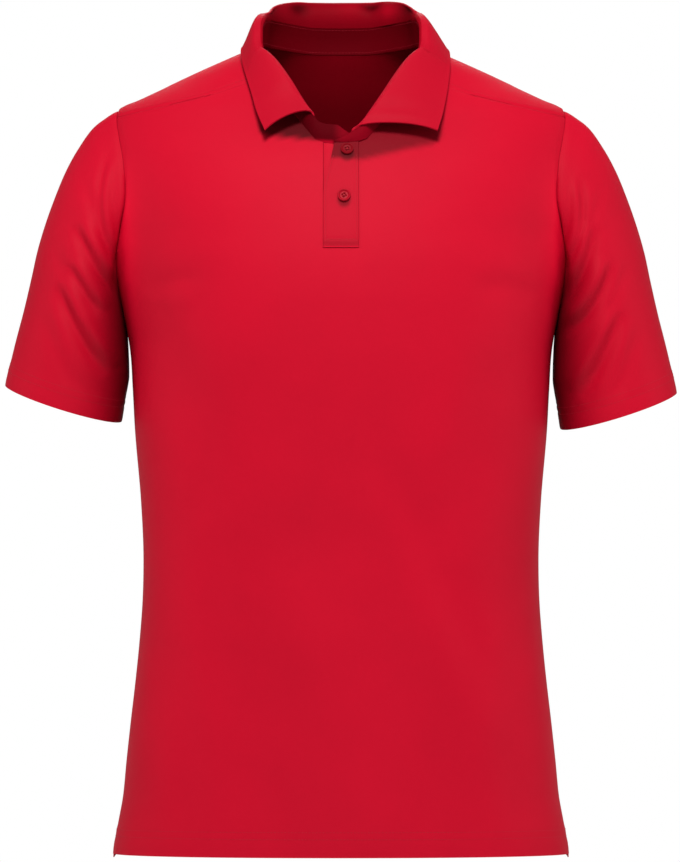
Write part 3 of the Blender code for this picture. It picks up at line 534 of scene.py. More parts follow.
def panelRelief(grid, wayOut, isFront):
    # creases over the whole panel, the hem's fold, and the dips at the seams
    shift = foldShift(grid[..., ::2], -wayOut[..., 1], frontFolds if isFront else backFolds)
    level = rowDistance(grid, 0)
    shift += hemRelief(level, body["hemFold"])
    fromSide = np.minimum(columnDistance(grid, 0), columnDistance(grid, -1))
    closed = np.clip(level / 60.0, 0, 1)
    shift += seamDip(fromSide, *body["sideDip"]) * closed
    return shift + seamDip(rowDistance(grid, -1), *body["shoulderDip"])


# The sleeves

sleeve = {
    "rows": 88, "cuffDip": 6.0, "cuffDrop": {-1: 0.0, 1: 6.5}, "hemFold": 20.0,
    "seamDip": (0.7, 2.2), "underDip": (0.5, 2.0),          # depth and breadth
    "bulge": (0.4, 7.0, 4.5),               # height, distance from the seam and breadth
}

sleeveTable = np.array([
    # place  outer x  outer z  inner x  inner z  depth  middle y
    [0.00, 198.0, -58.6, 194.0, -232.0, 58.0, 4.0],
    [0.10, 218.5, -72.0, 192.8, -238.5, 60.0, 6.0],
    [0.20, 233.0, -91.0, 191.4, -245.5, 62.0, 8.0],
    [0.30, 244.5, -111.5, 190.2, -254.0, 63.5, 9.0],
    [0.40, 254.0, -134.0, 189.4, -263.0, 63.5, 9.5],
    [0.50, 262.5, -157.5, 188.9, -272.5, 62.5, 9.5],
    [0.60, 269.6, -181.5, 188.5, -282.0, 60.5, 9.0],
    [0.70, 275.2, -207.0, 188.3, -292.5, 58.0, 8.0],
    [0.80, 281.6, -234.5, 189.6, -303.0, 55.5, 7.0],
    [0.90, 289.8, -266.0, 192.6, -318.0, 53.5, 6.0],
    [1.00, 298.0, -301.0, 195.0, -333.5, 52.0, 5.0],
])

# as frontFolds, with x measured outwards from the middle on both sleeves
sleeveFolds = {
    -1: [
        (234, -160, 218, -192, 193, -226, 4.2, 9.0, 0.8, 1),
        (240, -194, 227, -217, 211, -240, 3.4, 8.0, 0.8, 1),
        (251, -211, 232, -252, 205, -293, 5.0, 10.0, 0.9, 1),
        (201, -94, 212, -138, 201, -190, 2.2, 6.0, 0.8, 1),
        (262, -236, 248, -276, 226, -312, 1.3, 12.0, 0.7, 1),
        (226, -120, 214, -158, 199, -196, 1.3, 9.0, 0.6, 1),
        (252, -176, 240, -212, 224, -244, 1.0, 10.0, 0.5, 1),
        (230, -150, 214, -190, 192, -222, 2.6, 11.0, 0.8, -1),
        (246, -196, 226, -238, 199, -272, 3.2, 12.0, 0.8, -1),
        (258, -238, 240, -272, 214, -304, 2.0, 12.0, 0.7, -1),
        (214, -96, 208, -130, 198, -160, 1.5, 9.0, 0.6, -1),
    ],
    1: [
        (224, -160, 213, -196, 196, -228, 4.4, 9.0, 0.9, 1),
        (238, -190, 224, -226, 196, -256, 4.4, 9.0, 0.9, 1),
        (247, -232, 231, -270, 209, -308, 4.2, 10.0, 0.9, 1),
        (209, -118, 211, -162, 197, -206, 2.8, 6.0, 0.8, 1),
        (262, -244, 250, -284, 232, -318, 1.3, 11.0, 0.7, 1),
        (230, -124, 220, -160, 204, -190, 1.1, 9.0, 0.6, 1),
        (254, -190, 240, -222, 224, -252, 1.2, 10.0, 0.6, 1),
        (232, -142, 216, -184, 194, -218, 2.4, 11.0, 0.8, -1),
        (244, -200, 224, -236, 198, -266, 3.0, 11.0, 0.8, -1),
        (262, -236, 238, -280, 212, -312, 2.2, 13.0, 0.7, -1),
        (212, -102, 207, -132, 197, -158, 1.3, 8.0, 0.6, -1),
    ],
}


def sleeveBase(loop, top):
    # rings from the armhole's own line to ovals: the middle of the outer and inner lines, plus
    # half their distance times the cosine and the depth times the sine of the turn
    around = lengthAlong(loop[None])[0]
    whole = around[-1] + np.linalg.norm(loop[0] - loop[-1])
    turn = np.where(around <= around[top], np.pi * (1 - around / around[top]),
                    -np.pi * (around - around[top]) / (whole - around[top]))
    place = np.linspace(0, 1, sleeve["rows"] + 1)[:, None]
    read = [readTable(sleeveTable, k, place) for k in range(1, 7)]
    outer = np.stack([read[0], 0 * place, read[1]], axis=-1)
    inner = np.stack([read[2], 0 * place, read[3]], axis=-1)
    depth = read[4][..., None] * np.array([0.0, -1.0, 0.0])
    middle = read[5][..., None] * np.array([0.0, 1.0, 0.0])
    cosine, sine = np.cos(turn)[None, :, None], np.sin(turn)[None, :, None]
    rings = (outer + inner) / 2 + middle + (outer - inner) / 2 * cosine + depth * sine
    rings[..., 2] -= sleeve["cuffDip"] * np.maximum(np.sin(turn), 0)[None, :] * place ** 2
    return rings + (loop - rings[0]) * ((1 - place) ** 3)[..., None]


def makeSleeve(name, side, base, shared):
    # the rings, moved along their way out by folds, seams and hem, and mirrored for the right
    wayOut = wayOutOf(base, -1, ring=True)
    wayOut[0] = shared
    place = np.linspace(0, 1, len(base))[:, None]
    fade = np.clip(place / 0.1, 0, 1) * np.clip((1 - place) / 0.1, 0, 1)
    seen = np.stack([np.abs(base[..., 0]), base[..., 2]], axis=-1)
    shift = foldShift(seen, -wayOut[..., 1], sleeveFolds[side]) * fade
    fromSeam = rowDistance(base, 0)
    fromCuff = rowDistance(base, -1)
    high, middle, broad = sleeve["bulge"]
    # the seam's dip is shallower over the top of the shoulder
    dip = seamDip(fromSeam, *sleeve["seamDip"]) * np.clip(1.3 - wayOut[..., 2], 0.3, 1)
    shift += dip + high * bell(fromSeam, middle, broad)
    shift += hemRelief(fromCuff, sleeve["hemFold"])
    # the underarm seam runs along the ring's first column
    fromUnder = np.minimum(columnDistance(base, 0), columnDistance(base, -1))
    shift += seamDip(fromUnder, *sleeve["underDip"]) * np.clip(fromSeam / 15.0, 0, 1)
    rings = base + wayOut * shift[..., None]
    rings[..., 2] -= sleeve["cuffDrop"][side] * place ** 2
    wayOut = wayOutOf(rings, -1, ring=True)
    wayOut[0] = shared
    rings, wayOut = flipped(rings, side), flipped(wayOut, side)
    piece = gridShell(name, rings, wayOut, body["cloth"], both, ring=True, shade=sleeveShade(rings))
    return piece, rings, wayOut


# The collar: a stand sewn into the neckline, and a leaf that folds down over it

collar = {
    "wall": 1.3, "lapEnd": {-1: -9.5, 1: -5.5}, "lapColumns": 10, "standRows": 16,
    "riseRows": 16, "fallRows": 34,
    "leafLift": 5.2, "tipLift": 9.0, "tipReach": 0.16, "leafStart": {-1: 3, 1: -3},
    "dentShade": 0.17,       # painted shade for each millimetre of a dent in the leaf, and painted light for each millimetre of a ridge
    "arch": 30.0, "archReach": 22.0,        # how strongly each end edge of the leaf arches up
    "turnIn": 4.0,          # how far the roll leans into the neck at the back corners
    "turnAt": {-1: (0.64, 0.07), 1: (0.70, 0.08)},          # station and breadth of that lean
    "partShare": 0.07,      # the share of the stand over which its lapped layers part
    "belly": 1.2,           # how far the stand bows out at half its height
    "crestReach": 40.0,     # the length over which the roll grows from each end
    "bead": (0.35, 0.8, 1.0),               # height, distance from the edge and breadth
    "bow": (1.1, 42.0, 26.0, 22.0),         # rise of each wing, its height, place and breadth
}

# the share of its height that the stand keeps towards each lapped end
standTop = np.array([
    # across  right  left
    [-9.5, 0.45, 0.10],
    [-2.5, 0.75, 0.18],
    [4.0, 1.00, 0.36],
    [8.5, 1.00, 0.50],
    [22.0, 1.00, 1.00],
])

collarTable = np.array([
    # station  stand  lean  roll up  roll out
    [0.00, 16.5, 3.0, 5.6, 5.6],
    [0.15, 17.5, 3.5, 5.8, 6.0],
    [0.35, 21.5, 3.8, 6.5, 6.5],
    [0.52, 23.0, 3.5, 6.0, 6.5],
    [0.62, 22.5, 4.5, 6.8, 5.5],
    [0.70, 23.0, 4.0, 13.0, 5.5],
    [0.78, 23.5, 3.0, 19.0, 6.0],
    [0.86, 23.5, 2.5, 23.0, 7.0],
    [1.00, 23.5, 2.5, 24.0, 8.5],
])

leafEdge = np.array([
    # station  right  left  level  front
    [0.00, 63.0, 80.5, -84.0, 1],
    [0.12, 71.5, 87.0, -66.5, 1],
    [0.24, 78.0, 92.0, -48.0, 1],
    [0.35, 83.5, 94.5, -30.0, 1],
    [0.44, 86.0, 95.0, -19.5, 1],
    [0.52, 87.0, 94.5, -11.5, 1],
    [0.59, 86.0, 93.0, -7.6, 1],
    [0.66, 82.0, 88.0, -7.6, 0],
    [0.73, 74.0, 79.0, -11.0, 0],
    [0.80, 60.0, 64.0, -16.0, 0],
    [0.87, 42.0, 44.0, -20.5, 0],
    [0.94, 21.0, 21.5, -23.5, 0],
    [1.00, 0.0, 0.0, -24.5, 0],
])

# soft dents inside the standing back of the leaf: x, height share of the rise, depth, breadths
leafDents = [
    (-37, 0.52, 3.6, 8.0, 0.34), (27, 0.60, 3.6, 7.5, 0.25), (8, 0.5, -1.2, 12.0, 0.4),
    (58, 0.50, 3.4, 7.0, 0.40), (-62, 0.50, 3.0, 8.0, 0.4), (42, 0.25, -2.4, 7.5, 0.3),
]


def neckLevel(x):
    # the neckline's level in front: it dips by 1.2 in the middle, as a parabola
    return neckFront[-1, 0] - 1.2 * (1 - (x / (body["placketWidth"] / 2)) ** 2)


def lapStep(thickness):
    # how far a lapped layer is moved off the surface: half its thickness, half the gap and 0.1
    return (thickness + body["seamGap"]) / 2 + 0.1


def facingBack(wayOut, row, column):
    # turned round if the way out at the given point, in the middle of the back, faces forward
    return -wayOut if wayOut[row, column, 1] < 0 else wayOut


def layStand(front, back, frontOut, backOut, frontCut, backCut):
    # the neckline of both halves and a lapped end at each front, raised by the stand's height
    # and leaning in; one lapped end lies over the body's surface and the other under it
    first = body["lowerRows"] + body["chestRows"] + body["placketRows"]
    nape = slice(body["lowerRows"] + body["backRows"], -1)
    neck = np.concatenate([front[first:, 0], back[nape, 0][::-1]])
    neckOut = np.concatenate([frontOut[first:, 0], backOut[nape, 0][::-1]])
    laps = collar["lapColumns"]
    along = lengthAlong(neck[None])[0]
    station = np.concatenate([np.zeros(laps), along / along[-1]])
    up = np.array([0.0, 0.0, 1.0])
    ramp = 1 - eased(np.clip(station / collar["partShare"], 0, 1))
    share = np.linspace(0, 1, collar["standRows"] + 1)[:, None, None]
    halves, outwards, stations = {}, {}, {}
    for side, place in ((-1, 1), (1, 2)):
        x = np.linspace(collar["lapEnd"][side], body["placketWidth"] / 2, laps + 1)[:-1]
        line = np.concatenate([bodyPoint(x, neckLevel(x), True), neck])
        whole = np.concatenate([line, flipped(line[-2::-1], -1)])
        outward = unitVectors(np.cross(np.gradient(whole, axis=0)[:len(line)], up))
        inside = np.sum(outward * (line - [0.0, -12.0, 0.0]), axis=1, keepdims=True) < 0
        outward *= np.where(inside, -1.0, 1.0)
        across = np.where(station < 0.3, np.minimum(line[:, 0], standTop[-1, 0]), standTop[-1, 0])
        kept = readTable(standTop, place, across)[:, None]
        rise = up * readTable(collarTable, 1, station)[:, None]
        rise = rise - outward * readTable(collarTable, 2, station)[:, None]
        over = bodyNormal(line[:, 0], line[:, 2], True)
        lift = seamSide(line, outward, up) * body["seamGap"] / 2
        layer = over * (ramp * side * (lapStep(collar["wall"]) + 0.15))[:, None] + lift * ramp[:, None]
        bowed = outward * (collar["belly"] * np.sin(np.pi * share))
        half = line + lift + layer + (rise * share + bowed) * kept
        halves[side], outwards[side] = flipped(half, side), flipped(outward, side)
        # each point's share of the way to the back, less than none in the lapped end
        stations[side] = (lengthAlong(line[None])[0] - lengthAlong(line[None])[0][laps]) / along[-1]
    grid = np.concatenate([halves[-1], halves[1][:, -2::-1]], axis=1)
    wayOut = facingBack(wayOutOf(grid, 1), 1, len(line) - 1)
    own = np.concatenate([flipped(neckOut, -1), neckOut[-2::-1]])
    wayOut[0, laps:-laps] = unitVectors(own + wayOut[0, laps:-laps])
    lowered = lift[laps:]
    riseCount = len(front) - first
    frontCut[first:, 0] -= lowered[:riseCount]
    backCut[nape, 0] -= lowered[riseCount:][::-1]
    backCut[-1, 0] -= lowered[riseCount - 1]
    stations = np.concatenate([stations[-1], stations[1][-2::-1]])
    outwards = np.concatenate([outwards[-1], outwards[1][-2::-1]])
    return grid, wayOut, stations, outwards


def layLeaf(stand, standOut, stations, outwards):
    # from the stand's inner top edge over the roll and down to the edge over the body: two
    # hermite curves at each station. Its outer face faces the neck as it rises
    laps = collar["lapColumns"]
    first, last = laps + collar["leafStart"][-1], stand.shape[1] - 1 - laps - collar["leafStart"][1]
    middle = (stand.shape[1] - 1) // 2 - first
    cut = slice(first, last + 1)
    up = np.array([0.0, 0.0, 1.0])
    parting = seamSide(stand[-1], standOut[-1], up)[cut] * body["seamGap"]
    base = stand[-1, cut] - standOut[-1, cut] * collar["wall"] + parting
    own = stations[cut].copy()
    own[:middle] = (own[:middle] - own[0]) / (1 - own[0])
    own[middle:] = (own[middle:] - own[-1]) / (1 - own[-1])
    along = lengthAlong(base[None])[0]
    fromEnd = np.minimum(along, along[-1] - along)[:, None]
    taper = np.clip(fromEnd / collar["crestReach"], 0.15, 1.0)
    height = readTable(collarTable, 3, np.maximum(stations[cut], 0.0))[:, None]
    onward = unitVectors(stand[-1, cut] - stand[-2, cut]) * height * taper
    # the roll's height and reach come from the table by each point's own share of its side
    out = readTable(collarTable, 4, own)[:, None] * outwards[cut] * taper
    crest = base + readTable(collarTable, 3, own)[:, None] * up * taper + out
    onRight = np.arange(len(own)) < middle
    leaning = np.where(onRight, *[bell(own, *collar["turnAt"][side]) for side in (-1, 1)])
    crest = crest - outwards[cut] * (collar["turnIn"] * leaning)[:, None]
    tip = collar["tipLift"] * bell(leafEdge[:, :1], 0.0, collar["tipReach"]) * [0.3, -1.0, 0.0]
    edges = {}
    for side, place in ((-1, 1), (1, 2)):
        onFront = leafEdge[:, 4] > 0
        across, level = leafEdge[:, place], leafEdge[:, 3]
        rows = [bodyPoint(across, level, k) + tip + collar["leafLift"] * bodyNormal(across, level, k)
                for k in (True, False)]
        rows = flipped(np.where(onFront[:, None], rows[0], rows[1]), side)
        edges[side] = np.stack([smoothCurve(leafEdge[:, 0], rows[:, k], own) for k in range(3)], axis=1)
    edge = np.where(onRight[:, None], edges[-1], edges[1])
    rising = hermite(base, onward * 2.0, crest, out * 1.7, collar["riseRows"])
    arch = up * collar["arch"] * bell(fromEnd, 0.0, collar["archReach"])
    falling = hermite(crest, out * 1.8 + arch, edge, (edge - crest) * 0.9 - arch, collar["fallRows"])
    grid = np.concatenate([rising, falling[1:]])
    wayOut = facingBack(wayOutOf(grid, 1), -2, middle)
    # dents in the standing part, a bead along the outer edge, and a slight belly on each wing
    height = np.linspace(0, 1, len(grid))[:, None] * len(grid) / (collar["riseRows"] + 1)
    shift = np.zeros(grid.shape[:2])
    atBack = np.clip(grid[..., 1] / 25.0, 0, 1)
    for x, share, depth, wide, tall in leafDents:
        away = ((grid[..., 0] - x) / wide) ** 2 + ((height - share) / tall) ** 2
        shift -= depth * np.exp(-away) * atBack
    shift *= np.clip((0.95 - height) / 0.25, 0, 1)
    # the leaf's colour share: a little under 1 all over, with painted shade in each dent and painted
    # light on each ridge
    leafShadeShare = np.clip(0.86 + collar["dentShade"] * shift, 0.3, 1.3)
    toEdge = rowDistance(grid, -1)
    toEnd = np.minimum(columnDistance(grid, 0), columnDistance(grid, -1))
    fall = np.clip((np.arange(len(grid)) - collar["riseRows"]) / 8.0, 0, 1)[:, None]
    high, place, broad = collar["bead"]
    for distance in (toEdge, toEnd):
        shift += high * bell(distance, place, broad) * fall
    high, tall, place, broad = collar["bow"]
    belly = np.sin(np.pi * np.clip(toEdge / tall, 0, 1)) * fall
    shift += high * belly * bell(toEnd, place, broad)
    grid = grid + wayOut * shift[..., None]
    wayOut = facingBack(wayOutOf(grid, 1), -2, middle)
    wayOut[0] = -standOut[-1, cut]
    return grid, wayOut, leafShadeShare


# The placket: an upper band that laps over an under band, with two buttons

placket = {
    "columns": 24, "rows": 64, "wall": 0.9, "boxFoot": 7.0, "stitchIn": 1.8,
    "groove": 0.7,          # how broad the cloth sinks under a row of stitches
    "apart": 1.5,           # the thickness that the two bands are moved apart for
}

placketEdge = np.array([
    # level   edge
    [-184.5, -15.2],
    [-138.0, -15.2],
    [-119.0, -12.4],
    [-106.0, -9.0],
    [-91.0, -5.8],
])


def layBand(table, over):
    # rows from the foot to the neckline between the two edges, moved out by over times the lap
    right = body["placketWidth"] / 2 - body["seamGap"]
    foot = body["placketEnd"] + body["seamGap"]
    share = np.linspace(0, 1, placket["columns"] + 1)[None, :]
    level = np.linspace(foot, neckFront[-1, 0], placket["rows"] + 1)[:, None]
    left = -right if table is None else readTable(table, 1, level)
    x = left + (right - left) * share
    z = level + (neckLevel(x) - neckFront[-1, 0]) * (level - foot) / (neckFront[-1, 0] - foot)
    z = z - body["seamGap"] / 2 * (level > level[-2])
    wayOut = bodyNormal(x, z, True)
    grid = bodyPoint(x, z, True) + wayOut * over * lapStep(placket["apart"])
    # a thicker folded border, with a groove under each row of stitches
    border = np.minimum(np.minimum(x - left, right - x), z - foot)
    groove = bell(border, placket["stitchIn"], placket["groove"])
    shift = 0.25 - 0.35 * np.exp(-border / 0.5) - 0.3 * groove
    crossed = bell(z - foot, placket["boxFoot"], placket["groove"]) * (border > placket["stitchIn"])
    return grid + wayOut * (shift - 0.3 * crossed)[..., None], wayOut


# Painted shade and painted light in the cloth's colour: shadow under the collar, at the placket and
# inside the sleeves, light near the armholes and at the placket's foot

shading = {
    "collar": (0.17, 0.39), "collarSoft": (5.0, 8.0),       # the share kept under the painted shadow of the collar, and its edge's softness
    "standBack": 0.42, "leafBack": 0.22,                    # how much painted shade there is inside the neck
    "band": 0.9, "box": (0.22, 4.2, 2.6), "foot": (0.35, 0.3, 0.9),     # the band's share, then amount, height and breadth of the painted shade in the box and the painted highlight at the foot
    # the painted shadow below each button: its amount, drop and reach
    "button": 0.55, "buttonDrop": 3.4, "buttonReach": 7.0,
    "armhole": (0.5, 197.0, 17.0), "sleeve": (0.74, 184.0, 27.0),       # amount, place, breadth of the painted light at the armhole and the painted shade in the sleeves
}

# the lower edge of the collar's shade
underCollar = np.array([
    # across  level
    [-74.0, -80.0],
    [-66.0, -85.0],
    [-23.0, -89.5],
    [-6.5, -90.5],
    [-5.5, -105.0],
    [19.0, -107.0],
    [52.0, -98.5],
    [80.0, -92.5],
    [90.0, -86.0],
])


def collarShade(grid, across=-100.0):
    # painted shadow under the collar: the share falls from 1 to the kept share above the shadow's
    # edge, eased over a soft band. The band that laps over takes its painted shadow from the line at
    # across or beyond
    x, z = np.maximum(grid[..., 0], across), grid[..., 2]
    rightSoft, leftSoft = shading["collarSoft"]
    soft = rightSoft + (leftSoft - rightSoft) * np.clip(x / 30.0, 0, 1)
    depth = eased(np.clip((z - np.interp(x, underCollar[:, 0], underCollar[:, 1])) / soft + 0.5, 0, 1))
    inside = np.clip((x - underCollar[0, 0]) / 6.0, 0, 1) * np.clip((underCollar[-1, 0] - x) / 6.0, 0, 1)
    right, left = shading["collar"]
    kept = right + (left - right) * np.clip((x + 7.0) / 8.0, 0, 1)
    return 1 - (1 - kept) * depth * inside * (grid[..., 1] < -20.0)


def bandShade(grid):
    # painted shade between the box of stitches and the foot, and a painted highlight along the fold at
    # the foot, over the whole band at its band share
    up = grid[..., 2] - body["placketEnd"]
    box, foot = shading["box"], shading["foot"]
    light = shading["band"] - box[0] * bell(up, *box[1:]) + foot[0] * bell(up, *foot[1:])
    # and a painted soft shadow below each button
    for x, z in button["centres"].values():
        away = np.hypot(grid[..., 0] - x, (grid[..., 2] - z + shading["buttonDrop"]) * 0.9)
        light *= 1 - shading["button"] * np.clip((shading["buttonReach"] - away) / 3.0, 0, 1)
    return light


def armholeLight(grid):
    # painted light near the armhole, so that the front keeps its lightness up to the armhole, where it
    # turns away
    amount, place, breadth = shading["armhole"]
    near = bell(np.abs(grid[..., 0]), place, breadth)
    level = np.clip((-95.0 - grid[..., 2]) / 50.0, 0, 1) * np.clip((grid[..., 2] + 262.0) / 50.0, 0, 1)
    return 1 + amount * near * level * (grid[..., 1] < 0)


def sleeveShade(rings):
    # painted shade inside the sleeve: deepest at the inner line, from the armhole's foot down to the cuff
    amount, place, breadth = shading["sleeve"]
    near = bell(np.abs(rings[..., 0]), place, breadth)
    return 1 - amount * near * eased(np.clip((-165.0 - rings[..., 2]) / 60.0, 0, 1))


def insideNeck(grid):
    # where the painted shade inside the neck falls: 0 in front, growing to 1 at the back of the neck
    return np.clip(grid[..., 1] / 30.0, 0, 1)


# Buttons: a turned face with a raised rim, four holes and a cross of thread

button = {
    "centres": {"button_top": (5.2, -98.6), "button_lower": (2.6, -139.5)},
    "turn": {"button_top": 0.2, "button_lower": 0.5},       # radians
    "holeRadius": 0.75, "holeOut": 1.35, "holeDepth": 1.2,
    "rings": 44, "sides": 96, "threadRadius": 0.28, "threadRise": 0.35,
}

buttonProfile = np.array([
    # run    radius  height
    [0.00, 0.0, 1.30],
    [0.18, 1.6, 1.28],
    [0.36, 3.1, 1.30],
    [0.46, 3.9, 1.50],
    [0.55, 4.4, 2.10],
    [0.64, 4.9, 2.38],
    [0.74, 5.4, 2.10],
    [0.82, 5.7, 1.40],
    [0.88, 5.5, 0.60],
    [0.94, 5.1, 0.15],
    [1.00, 4.4, 0.00],
])


def makeButton(name, centre, wayOut):
    # the profile turned about the way out of the cloth. Its holes are round wells: the face is
    # lowered by holeDepth / (1 + (distance / holeRadius)^10)
    run = np.linspace(0, 1, button["rings"] + 1)
    radius = np.maximum(readTable(buttonProfile, 1, run), 0.02)[:, None]
    height = readTable(buttonProfile, 2, run)[:, None]
    angle = np.linspace(0, 2 * np.pi, button["sides"], endpoint=False)[None, :]
    across, upward = radius * np.cos(angle), radius * np.sin(angle)
    holes = button["turn"][name] + np.pi / 4 + np.arange(4) * np.pi / 2
    wells = np.zeros_like(across)
    for hole in holes:
        holeX, holeZ = button["holeOut"] * np.cos(hole), button["holeOut"] * np.sin(hole)
        away = np.hypot(across - holeX, upward - holeZ)
        wells += button["holeDepth"] / (1 + (away / button["holeRadius"]) ** 10)
    lift = height - wells * (run < 0.5)[:, None]
    first = unitVectors(np.cross([0.0, 0.0, 1.0], wayOut))
    second = np.cross(wayOut, first)
    points = centre + across[..., None] * first + upward[..., None] * second + lift[..., None] * wayOut
    sides, rings = button["sides"], button["rings"]
    index = np.arange(points[..., 0].size).reshape(rings + 1, sides)
    index = np.concatenate([index, index[:, :1]], axis=1)
    walls = np.stack([index[:-1, :-1], index[:-1, 1:], index[1:, 1:], index[1:, :-1]], axis=-1)
    points = points.reshape(-1, 3)
    faces, ends = [walls.reshape(-1, 4)], []
    # the face and the underside are closed with fans of quads about one point
    pairs = np.arange(0, sides, 2)
    for ring, order in ((index[0], (2, 1, 0)), (index[-1], (0, 1, 2))):
        hub = np.full(len(pairs), len(points) + len(ends))
        faces.append(np.stack([ring[pairs + k] for k in order] + [hub], axis=1))
        ends.append(points[ring[:-1]].mean(axis=0))
    points = np.concatenate([points, ends])
    piece = meshObject(name + "_face", points, np.concatenate(faces), [buttonDyes[name]])
    # two threads cross between opposite holes
    spokes = np.cos(holes)[:, None] * first + np.sin(holes)[:, None] * second
    corners = centre + spokes * button["holeOut"]
    lines = []
    t = np.linspace(0, 1, 13)[:, None]
    for a, b in ((0, 2), (1, 3)):
        rise = 1.0 + button["threadRise"] * (1 - (2 * t - 1) ** 6) + 0.12 * (a == 1)
        lines.append(corners[a] + (corners[b] - corners[a]) * t + wayOut * rise)
    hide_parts(name)
    roundThread(name + "_face_thread", np.array(lines), button["threadRadius"])


# Thread: round stretches along given lines, as one mesh

def roundThread(name, lines, radius):
    # lines is (threads, points, 3); each point carries a circle of six points square to the
    # thread, shrunk at both ends
    heading = unitVectors(np.gradient(lines, axis=1))
    aside = np.where(np.abs(heading[..., 2:]) < 0.9, [0, 0, 1.0], [0, 1.0, 0])
    first = unitVectors(np.cross(heading, aside))
    second = np.cross(heading, first)
    along = np.linspace(-1, 1, lines.shape[1])
    size = radius * np.sqrt(np.clip(1.04 - along ** 8, 0.04, 1))[None, :, None, None]
    angle = np.arange(6) * np.pi / 3
    spokes = np.cos(angle)[:, None] * first[:, :, None] + np.sin(angle)[:, None] * second[:, :, None]
    points = lines[:, :, None, :] + spokes * size
    index = np.arange(points[..., 0].size).reshape(points.shape[:3])
    turned = np.roll(index, -1, axis=2)
    walls = np.stack([index[:, :-1], turned[:, :-1], turned[:, 1:], index[:, 1:]], axis=-1).reshape(-1, 4)
    caps = [index[:, end][:, order] for end, order in
            ((0, [3, 2, 1, 0]), (0, [5, 4, 3, 0]), (-1, [0, 1, 2, 3]), (-1, [0, 3, 4, 5]))]
    thread = meshObject(name, points.reshape(-1, 3), np.concatenate([walls] + caps), [threadDye])


stitch = {"length": 2.3, "pitch": 3.0, "radius": 0.17, "fromShoulder": 4.5, "fromStandEdge": 1.6}


def stitchLines(name, paths):
    # each path is (points, ways out). A stitch is a short arch that dips into the cloth at both
    # ends: 5 points at even places, raised by 1 - t^2
    arches = []
    for points, out in paths:
        total = lengthAlong(points[None])[0]
        count = max(int(total[-1] / stitch["pitch"]), 1)
        starts = (np.arange(count) + 0.5) * total[-1] / count
        t = np.linspace(-1, 1, 5)
        places = starts[:, None] + t[None, :] * stitch["length"] / 2
        where = np.stack([np.interp(places, total, points[:, k]) for k in range(3)], axis=-1)
        facing = unitVectors(np.stack([np.interp(places, total, out[:, k]) for k in range(3)], axis=-1))
        rise = stitch["radius"] * (0.9 - 2.2 * t ** 2)
        arches.append(where + facing * rise[None, :, None])
    roundThread(name, np.concatenate(arches), stitch["radius"])


def lineAcross(grid, wayOut, distance, fromRow, columns=slice(None)):
    # the line at a given distance from a row, one point for each column
    part, out = grid[:, columns], wayOut[:, columns]
    order = slice(None) if fromRow == 0 else slice(None, None, -1)
    part, out = part[order].transpose(1, 0, 2), out[order].transpose(1, 0, 2)
    along = lengthAlong(part)
    keys = (along + 1e5 * np.arange(len(along))[:, None]).ravel()
    wanted = distance + 1e5 * np.arange(len(along))
    read = [[np.interp(wanted, keys, a[..., k].ravel()) for k in range(3)] for a in (part, out)]
    return np.stack(read[0], axis=1), unitVectors(np.stack(read[1], axis=1))


def lineDown(grid, wayOut, distance, fromColumn, rows=slice(None)):
    turn = (1, 0, 2)
    return lineAcross(grid.transpose(turn), wayOut.transpose(turn), distance, fromColumn, rows)


# Finishes

finish = {
    # the inside red is the red painted darker, for the shade inside the shirt
    "red": (0.38, 0.0014, 0.0136), "insideShadeRed": (0.16, 0.0004, 0.0046),
    # the turned red is painted shade for the leaf's inner side
    "turnedShadeRed": (0.25, 0.0006, 0.007), "threadRed": (0.28, 0.001, 0.009),
    # the shaded button red is painted shade: the top button under the collar
    "buttonRed": (0.25, 0.0008, 0.008), "buttonShaded": (0.14, 0.0004, 0.004),
    "sheenTint": (1.0, 0.32, 0.36), "wale": 0.00075, "course": 0.0006,
    "dyeRange": (0.95, 1.04), "swirlRange": (0.85, 1.1),        # shares of the colour
    "knitGloss": (0.50, 0.60), "buttonGloss": (0.36, 0.52),     # roughness
    "knitRelief": (0.22, 0.00012), "unevenRelief": (0.25, 0.0008), "twistRelief": (0.4, 0.0001),
}


def addNode(tree, kind, inputs, **settings):
    # inputs gives each socket its constant, or the socket that is linked into it
    node = tree.nodes.new(kind)
    node.location = (200 * len(tree.nodes), 0)
    for key, value in settings.items():
        setattr(node, key, value)
    for key, value in inputs.items():
        if isinstance(value, bpy.types.NodeSocket):
            tree.links.new(value, node.inputs[key])
        else:
            node.inputs[key].default_value = value
    return node


def mathNode(tree, operation, a, b=0.5):
    # b is left unread by an operation on one value
    return addNode(tree, "ShaderNodeMath", {0: a, 1: b}, operation=operation).outputs[0]


def multiplied(tree, share, first, second):
    # first turned by the share towards first times second
    kind = {"data_type": "RGBA", "blend_type": "MULTIPLY"}
    return addNode(tree, "ShaderNodeMix", {0: share, 6: first, 7: second}, **kind).outputs[2]


def noiseNode(tree, **inputs):
    where = addNode(tree, "ShaderNodeTexCoord", {}).outputs["Object"]
    return addNode(tree, "ShaderNodeTexNoise", {"Vector": where, **inputs})


def rampNode(tree, value, colour, shares, stops=(0.0, 1.0)):
    # from a darker to a lighter share of the colour
    ramp = addNode(tree, "ShaderNodeValToRGB", {"Fac": value})
    for element, share, stop in zip(ramp.color_ramp.elements, shares, stops):
        element.color = (*[c * share for c in colour], 1.0)
        element.position = stop
    return ramp.outputs["Color"]


def bumpNode(tree, height, relief, **inputs):
    made = {"Height": height, "Strength": relief[0], "Distance": relief[1], **inputs}
    return addNode(tree, "ShaderNodeBump", made).outputs["Normal"]


def rangeNode(tree, value, limits):
    ends = {"Value": value, "To Min": limits[0], "To Max": limits[1]}
    return addNode(tree, "ShaderNodeMapRange", ends).outputs["Result"]


